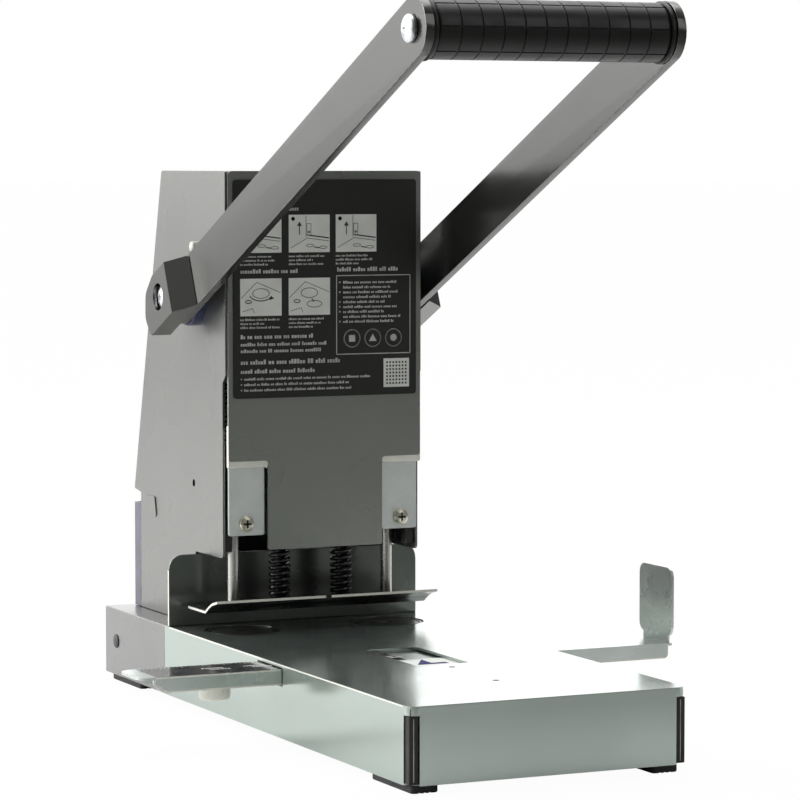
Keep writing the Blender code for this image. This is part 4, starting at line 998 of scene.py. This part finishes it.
def build_base_bend_highlights():
    """Painted highlight: a bright strip where each long wall of the cover bends into its top."""
    for side, word in SIDES:
        line = rectangle(BASE_LOW.y + 6 * MM, BASE_TOP - 0.75 * MM, STOP_FRONT - 0.5 * MM,
                         BASE_TOP - 0.2 * MM)
        ends = sorted((side * (BASE_HIGH.x - 0.3 * MM), side * (BASE_HIGH.x + PROUD)))
        bare_edge_and_highlight_strip("base_bend_highlight_" + word, line, "X", *ends, "frame")


def band(path, width):
    """Outline of a ribbon of even width on the left of a path."""
    left = []
    for i, point in enumerate(path):
        here = Vector(point)
        into = (here - Vector(path[i - 1])).normalized() if i else None
        out = (Vector(path[i + 1]) - here).normalized() if i < len(path) - 1 else into
        into = into or out
        sides = [Vector((-d.y, d.x)) for d in (into, out)]
        mitre = (sides[0] + sides[1]).normalized()
        left.append(tuple(here + mitre * (width / mitre.dot(sides[0]))))
    return list(path) + left[::-1]


def build_stop_seal():
    """Black strip that closes the seam between the stop plate and the cover."""
    seam = rectangle(-STOP_HIGH.x + 0.1 * MM, STOP_LOW.y + 0.1 * MM, STOP_HIGH.x - 0.1 * MM,
                     STOP_HIGH.y - 0.1 * MM)
    piece("stop_seal", slab(seam, "Z", BASE_TOP + 0.01 * MM, BASE_TOP + 0.36 * MM), "frame", "foot")


def build_guide_rim_and_fold_highlight():
    """Bright sheared rim of the guide's front flange, and a painted highlight along its fold line."""
    shoulder, low = GUIDE_TOP - 2.8 * MM, GUIDE_LOW.z
    start, round_r = GUIDE_LOW.x + 6.8 * MM, 7.0 * MM
    curve = [(start, GUIDE_TOP - 1.0 * MM), (start, shoulder)]
    curve += [(start + round_r * (1 - math.cos(a)), shoulder - (shoulder - low) * math.sin(a))
              for a in (math.pi / 2 * k / 8 for k in range(1, 9))]
    curve.append((GUIDE_HIGH.x - 4.0 * MM, low))
    # Bright strip along the fold: painted highlight where the top bends into the front flange.
    fold = rectangle(start + 0.6 * MM, GUIDE_TOP - 0.75 * MM, BASE_LOW.x - 1.0 * MM, GUIDE_TOP - 0.15 * MM)
    for name, outline in (("guide_rim", band(curve, 0.6 * MM)), ("guide_fold_highlight", fold)):
        strip = slab(outline, "Y", GUIDE_FRONT - PROUD, GUIDE_FRONT + 0.3 * MM)
        piece(name, strip, "paper_guide", "cut")


def build_notch_lips():
    """Rolled bare edges along the panel's two lower notches and up its sides."""
    notch = BASE_TOP + 81.2 * MM
    drop, roll, corner = 3.4 * MM, 1.2 * MM, 1.6 * MM
    outer, inner = PANEL_HIGH.x, 29.5 * MM
    front = PANEL_LOW.y + 0.12 * MM
    steps = 8
    for side, word in SIDES:
        bm = bmesh.new()
        rings = []
        section = []
        for k in range(steps + 1):
            a = math.pi / 2 * k / steps
            section.append((drop * math.sin(a), roll * (1 - math.cos(a))))
        section += [(d - 0.5 * MM if d > 0.5 * MM else 0.0, y + 0.35 * MM) for d, y in reversed(section)]
        path = [(outer - 0.1 * MM, 0.0)]
        for k in range(steps + 1):
            a = math.pi / 2 * k / steps
            path.append((inner + corner * (1 - math.sin(a)), -corner * (1 - math.cos(a))))
        for x, z in path:
            near_corner = 0.45 if z < -0.8 * MM else 1.0
            rings.append([bm.verts.new((side * x, front + y, notch + 0.3 * MM + z - d * near_corner))
                          for d, y in section])
        loft(bm, rings)
        piece("notch_lip_" + word, mesh_of(bm, angle=50), "frame", "cut")


# ---- printed label ----

class Print:
    """Flat printed shapes on the label's face, given by X and height above the base in millimetres."""

    def __init__(self, thickness=0.03 * MM):
        self.bm = bmesh.new()
        self.front = LABEL_FACE - thickness
        self.back = LABEL_FACE - 0.004 * MM

    def shape(self, points):
        """One flat shape with a little thickness, its outline in millimetres."""
        place = [(x * MM, BASE_TOP + z * MM) for x, z in points]
        front = [self.bm.verts.new((x, self.front, z)) for x, z in place]
        back = [self.bm.verts.new((x, self.back, z)) for x, z in place]
        self.bm.faces.new(front)
        self.bm.faces.new(back[::-1])
        for k in range(len(place)):
            n = (k + 1) % len(place)
            self.bm.faces.new((front[k], back[k], back[n], front[n]))

    def bar(self, x0, z0, x1, z1, radius=0.0):
        self.shape(rectangle(x0, z0, x1, z1, radius, 3))

    def stroke(self, points, width=0.25):
        """A drawn line through points."""
        for a, b in zip(points, points[1:]):
            a, b = Vector(a), Vector(b)
            along = (b - a).normalized()
            off = Vector((-along.y, along.x)) * (width / 2)
            a, b = a - along * (width / 3), b + along * (width / 3)
            self.shape([tuple(a + off), tuple(b + off), tuple(b - off), tuple(a - off)])

    def oval(self, x, z, rx, rz, width=0.25, start=0.0, sweep=360.0, steps=28):
        count = max(4, int(steps * sweep / 360))
        angles = [math.radians(start + sweep * k / count) for k in range(count + 1)]
        self.stroke([(x + rx * math.cos(a), z + rz * math.sin(a)) for a in angles], width)

    def words(self, x0, x1, z, height, seed, ragged=0.0):
        """A line of word-like blocks, with no letters in them."""
        draw = random.Random(seed)
        x = x0
        stop = x1 - ragged * draw.random()
        while x < stop - height:
            for _ in range(draw.randint(2, 8)):
                width = height * draw.uniform(0.35, 0.62)
                if x + width > stop:
                    break
                tall = height * draw.choice((0.68, 0.68, 0.72, 1.0))
                self.bar(x, z, x + width, z + tall)
                x += width + height * 0.16
            x += height * 0.45

    def mesh(self):
        bmesh.ops.recalc_face_normals(self.bm, faces=self.bm.faces)
        return mesh_of(self.bm, smooth=False)


PICTURES = [(-43.7, -22.7, 178.8, 196.5), (-19.0, 2.0, 178.8, 196.5), (5.1, 26.2, 178.8, 196.5),
            (-43.7, -22.7, 149.3, 166.8), (-19.1, 2.1, 149.3, 166.8)]


def shares(picture, *points):
    """Points given as shares of a picture's width and height."""
    x0, x1, z0, z1 = picture
    return [(x0 + x * (x1 - x0), z0 + z * (z1 - z0)) for x, z in points]


def oval_in(ink, picture, x, z, rx, rz, *how):
    x0, x1, z0, z1 = picture
    ink.oval(*shares(picture, (x, z))[0], rx * (x1 - x0), rz * (z1 - z0), *how)


def draw_base_view(ink, picture):
    """A plain line view of the punch's base with its throat."""
    ink.stroke(shares(picture, (0.05, 0.12), (0.45, 0.38), (0.97, 0.30)))
    ink.stroke(shares(picture, (0.42, 0.97), (0.42, 0.40)))
    ink.stroke(shares(picture, (0.45, 0.46), (0.97, 0.38)), 0.6)
    oval_in(ink, picture, 0.52, 0.18, 0.09, 0.035)
    oval_in(ink, picture, 0.84, 0.13, 0.09, 0.035)
    ink.stroke(shares(picture, (0.63, 0.14), (0.74, 0.12)), 0.5)


def draw_clamp_view(ink, picture):
    """The clamp plate and cutter, with an arrow."""
    ink.stroke(shares(picture, (0.44, 0.46), (0.44, 0.76), (0.54, 0.76), (0.54, 0.46)))
    oval_in(ink, picture, 0.49, 0.54, 0.02, 0.02, 0.4)
    ink.stroke(shares(picture, (0.26, 0.48), (0.26, 0.72)), 0.5)
    ink.shape(shares(picture, (0.20, 0.70), (0.32, 0.70), (0.26, 0.82)))


def draw_board_view(ink, picture, lifted):
    """A punch board in its seat, turned or lifted out."""
    ink.stroke(shares(picture, (0.02, 0.48), (0.40, 0.90), (0.97, 0.62)))
    oval_in(ink, picture, 0.50, 0.60, 0.20, 0.13, 0.3)
    if lifted:
        oval_in(ink, picture, 0.62, 0.30, 0.18, 0.09, 0.3)
        ink.stroke(shares(picture, (0.56, 0.44), (0.60, 0.36)), 0.5)
    else:
        oval_in(ink, picture, 0.50, 0.60, 0.28, 0.20, 0.5, 200, 130)
        ink.shape(shares(picture, (0.70, 0.42), (0.82, 0.46), (0.74, 0.54)))
    ink.stroke(shares(picture, (0.06, 0.12), (0.30, 0.20), (0.34, 0.08)))
    oval_in(ink, picture, 0.20, 0.38, 0.07, 0.04, 0.4)


HEADINGS = [(-43.5, -13.8, 198.4, 2.0), (-43.5, -14.2, 169.2, 2.0), (5.8, 38.4, 169.6, 2.0),
            (-43.5, -6.6, 138.6, 2.0), (-43.5, 0.2, 135.2, 1.7), (-43.5, -1.5, 132.1, 1.7),
            (-43.5, 7.5, 126.6, 2.2), (-43.5, -4.2, 122.4, 2.0)]


def build_label():
    pale = Print()
    fields = Print()
    ink = Print(0.055 * MM)
    for seed, line in enumerate(HEADINGS, 1):
        pale.words(*line, seed)
    for row, (z, end) in enumerate(((119.2, 23.0), (116.6, 13.0), (114.0, 13.0))):
        pale.bar(-43.5, z + 0.3, -42.9, z + 0.9)
        pale.words(-41.8, end, z, 1.25, 20 + row)
    for n, (x0, x1, z0, z1) in enumerate(PICTURES):
        fields.bar(x0, z0, x1, z1, 0.2)
        for row in range(3):
            pale.words(x0, x1, z0 - 2.2 - 1.85 * row, 1.05, 40 + 5 * n + row, ragged=9.0)
    for picture in PICTURES[:3]:
        draw_base_view(ink, picture)
    for picture in PICTURES[1:3]:
        draw_clamp_view(ink, picture)
    draw_board_view(ink, PICTURES[3], lifted=False)
    draw_board_view(ink, PICTURES[4], lifted=True)
    for x0, _, _, z1 in PICTURES[:3]:
        ink.oval(x0 + 2.2, z1 - 1.9, 0.45, 0.45, 0.9, steps=12)

    left, right, low, high = 5.5, 43.8, 130.4, 167.6
    pale.stroke([(left, low), (right, low), (right, high), (left, high), (left, low)], 0.42)
    for row in range(9):
        z = 163.8 - 2.32 * row
        if row in (0, 2, 4, 5, 6, 8):
            pale.bar(left + 1.3, z + 0.3, left + 2.0, z + 1.0)
        pale.words(left + 3.4, right - 2.5, z, 1.25, 80 + row, ragged=14.0)
    for x, kind in ((13.5, "square"), (24.3, "triangle"), (35.1, "disc")):
        pale.oval(x, 137.8, 4.1, 4.1, 0.55, steps=40)
        if kind == "square":
            pale.bar(x - 1.6, 136.2, x + 1.6, 139.4, 0.3)
        elif kind == "triangle":
            pale.shape([(x - 2.0, 136.3), (x + 2.0, 136.3), (x, 139.9)])
        else:
            pale.shape([(x + 1.7 * math.cos(math.pi * k / 12), 137.8 + 1.7 * math.sin(math.pi * k / 12))
                        for k in range(24)])
    fields.bar(29.9, 114.2, 43.3, 127.9, 0.1)
    for i in range(7):
        for j in range(7):
            x, z = 31.3 + 1.63 * i, 115.6 + 1.66 * j
            ink.bar(x, z, x + 0.9, z + 0.9)
    for name, made, key in (("label_words", pale, "print"), ("label_fields", fields, "picture"),
                            ("label_drawings", ink, "line")):
        piece(name, made.mesh(), "frame", key)


# ---- paper guide and window marks ----

def build_guide_print():
    """The dark scale on the guide with its ticks and figure-like blocks."""
    half = 12.7 * MM
    start, end = GUIDE_LOW.x + 8.0 * MM, -3.0 * MM
    field = rectangle(start, GUIDE_MIDDLE - half, end, GUIDE_MIDDLE + half, 0.4 * MM)
    piece("scale_field", slab(field, "Z", GUIDE_TOP, GUIDE_TOP + 0.05 * MM, 0.01 * MM), "paper_guide",
          "ink")
    marks = []
    tick_back = GUIDE_MIDDLE + half - 1.0 * MM
    for k in range(int((end - start) / (2 * MM))):
        x = start + 2 * MM * (k + 1) - 1 * MM
        reach = (2.6 if k % 5 == 0 else 1.3) * MM
        marks.append(rectangle(x - 0.12 * MM, tick_back - reach, x + 0.12 * MM, tick_back))
    draw = random.Random(5)
    for x0 in (-97.0, -77.0, -57.0, -37.0, -14.0):
        for row in range(2):
            x = x0 + 3.0 * row
            y = GUIDE_MIDDLE / MM + 2.0 - 3.6 * row
            for _ in range(7):
                width = draw.uniform(0.7, 1.3)
                marks.append(rectangle(x * MM, (y - 0.7) * MM, (x + width) * MM,
                                       (y + draw.choice((0.7, 1.1))) * MM))
                x += width + 0.45
    raised = joined([slab(mark, "Z", GUIDE_TOP + 0.05 * MM, GUIDE_TOP + 0.08 * MM) for mark in marks])
    piece("scale_marks", raised, "paper_guide", "mark")


POINTER_SHAPE = [(-7.0, -154.5), (8.5, -154.5), (8.5, -150.6), (1.5, -150.8), (1.8, -139.7)]


def build_window_marks():
    low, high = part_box("pointer_plate")
    top = high.z
    blue = [(x * MM, STOP_FRONT + y * MM) for x, y in POINTER_SHAPE]
    piece("pointer_mark", slab(blue, "Z", top, top + 0.05 * MM), "frame", "pointer")
    field = rectangle(low.x + 0.6 * MM, low.y + 0.6 * MM, high.x - 0.6 * MM, high.y - 0.4 * MM, 0.5 * MM)
    piece("pointer_field", slab(field, "Z", top, top + 0.03 * MM), "frame", "picture")


# ---- studio ----

def build_floor():
    bm = bmesh.new()
    bmesh.ops.create_circle(bm, cap_ends=True, segments=96, radius=40)
    floor = bpy.data.objects.new("floor", mesh_of(bm, smooth=False))
    floor.location.z = -0.0001
    bpy.context.scene.collection.objects.link(floor)
    made = bpy.data.materials.new("studio_floor")
    made.use_nodes = True
    tree = made.node_tree
    shader = tree.nodes["Principled BSDF"]
    place = add(tree, "TexCoord").outputs["Object"]
    mottle = noise(tree, place, 3.0, 3.0)
    pale = blend_colour(tree, mottle, (0.86, 0.86, 0.855, 1), (0.90, 0.90, 0.895, 1))
    away = step_between(tree, add(tree, "SeparateXYZ", {0: place}).outputs["Y"], -0.62, -0.02)
    tone = blend_colour(tree, away, (0.13, 0.14, 0.13, 1), pale)
    tree.links.new(tone, shader.inputs["Base Color"])
    shader.inputs["Roughness"].default_value = 0.6
    glow = add(tree, "Emission", {"Color": (1, 1, 1, 1), "Strength": 1.0})
    seen = maths(tree, "MULTIPLY", add(tree, "LightPath").outputs["Is Camera Ray"], 0.97)
    mixed = add(tree, "MixShader", {0: seen, 1: shader.outputs[0], 2: glow.outputs[0]})
    tree.links.new(mixed.outputs[0], tree.nodes["Material Output"].inputs["Surface"])
    floor.data.materials.append(made)


def area_light(name, location, aim, size, power):
    data = bpy.data.lights.new(name, "AREA")
    data.shape = "RECTANGLE"
    data.size, data.size_y = size
    data.energy = power
    light = bpy.data.objects.new(name, data)
    light.location = location
    light.rotation_mode = "QUATERNION"
    light.rotation_quaternion = (Vector(aim) - Vector(location)).to_track_quat("-Z", "Y")
    bpy.context.scene.collection.objects.link(light)


def build_studio():
    world = bpy.data.worlds.new("studio")
    world.use_nodes = True
    tree = world.node_tree
    shader = tree.nodes["Background"]
    direction = add(tree, "TexCoord").outputs["Generated"]
    way = add(tree, "SeparateXYZ", {0: direction}).outputs
    back = maths(tree, "SUBTRACT", way["Y"], step_between(tree, way["X"], 0.55, 0.95))
    glow = add(tree, "MapRange", {"Value": back, "From Min": -0.5, "From Max": 0.6, "To Min": 0.10,
                                  "To Max": 1.60}, interpolation_type="SMOOTHSTEP").outputs["Result"]
    seen = add(tree, "LightPath").outputs["Is Camera Ray"]
    tree.links.new(blend_value(tree, seen, glow, 1.0), shader.inputs["Strength"])
    shader.inputs["Color"].default_value = (1.0, 1.0, 1.0, 1)
    bpy.context.scene.world = world
    aim = (0, 0, 0.15)
    area_light("left_softbox", (-1.5, 1.1, 0.8), aim, (1.2, 1.4), 20)
    area_light("top_softbox", (0.1, 0.2, 1.9), aim, (1.6, 1.6), 16)
    area_light("front_fill", (0.9, -1.9, 1.3), aim, (1.2, 1.2), 4)


def build_camera():
    data = bpy.data.cameras.new("camera")
    data.lens = 155.8
    data.sensor_width = 36.0
    data.clip_start, data.clip_end = 0.05, 100
    camera = bpy.data.objects.new("camera", data)
    camera.location = (-0.6596, -1.4390, 0.2589)
    azimuth, elevation = math.radians(-25.05), math.radians(3.976)
    back = Vector((math.sin(azimuth) * math.cos(elevation), -math.cos(azimuth) * math.cos(elevation),
                   math.sin(elevation)))
    camera.rotation_mode = "QUATERNION"
    camera.rotation_quaternion = (-back).to_track_quat("-Z", "Y")
    bpy.context.scene.collection.objects.link(camera)
    bpy.context.scene.camera = camera
    bpy.context.scene.view_settings.view_transform = "Standard"


finish_frame_pieces()
build_grip()
build_bolts()
build_clamp_screws()
build_rear_screws()
build_springs()
build_boards()
build_feet()
build_knob()
build_base_trim()
build_tower_trim()
build_notch_lips()
build_bare_edges()
build_base_bend_highlights()
build_stop_seal()
build_guide_rim_and_fold_highlight()
build_label()
build_guide_print()
build_window_marks()
build_floor()
build_studio()
build_camera()
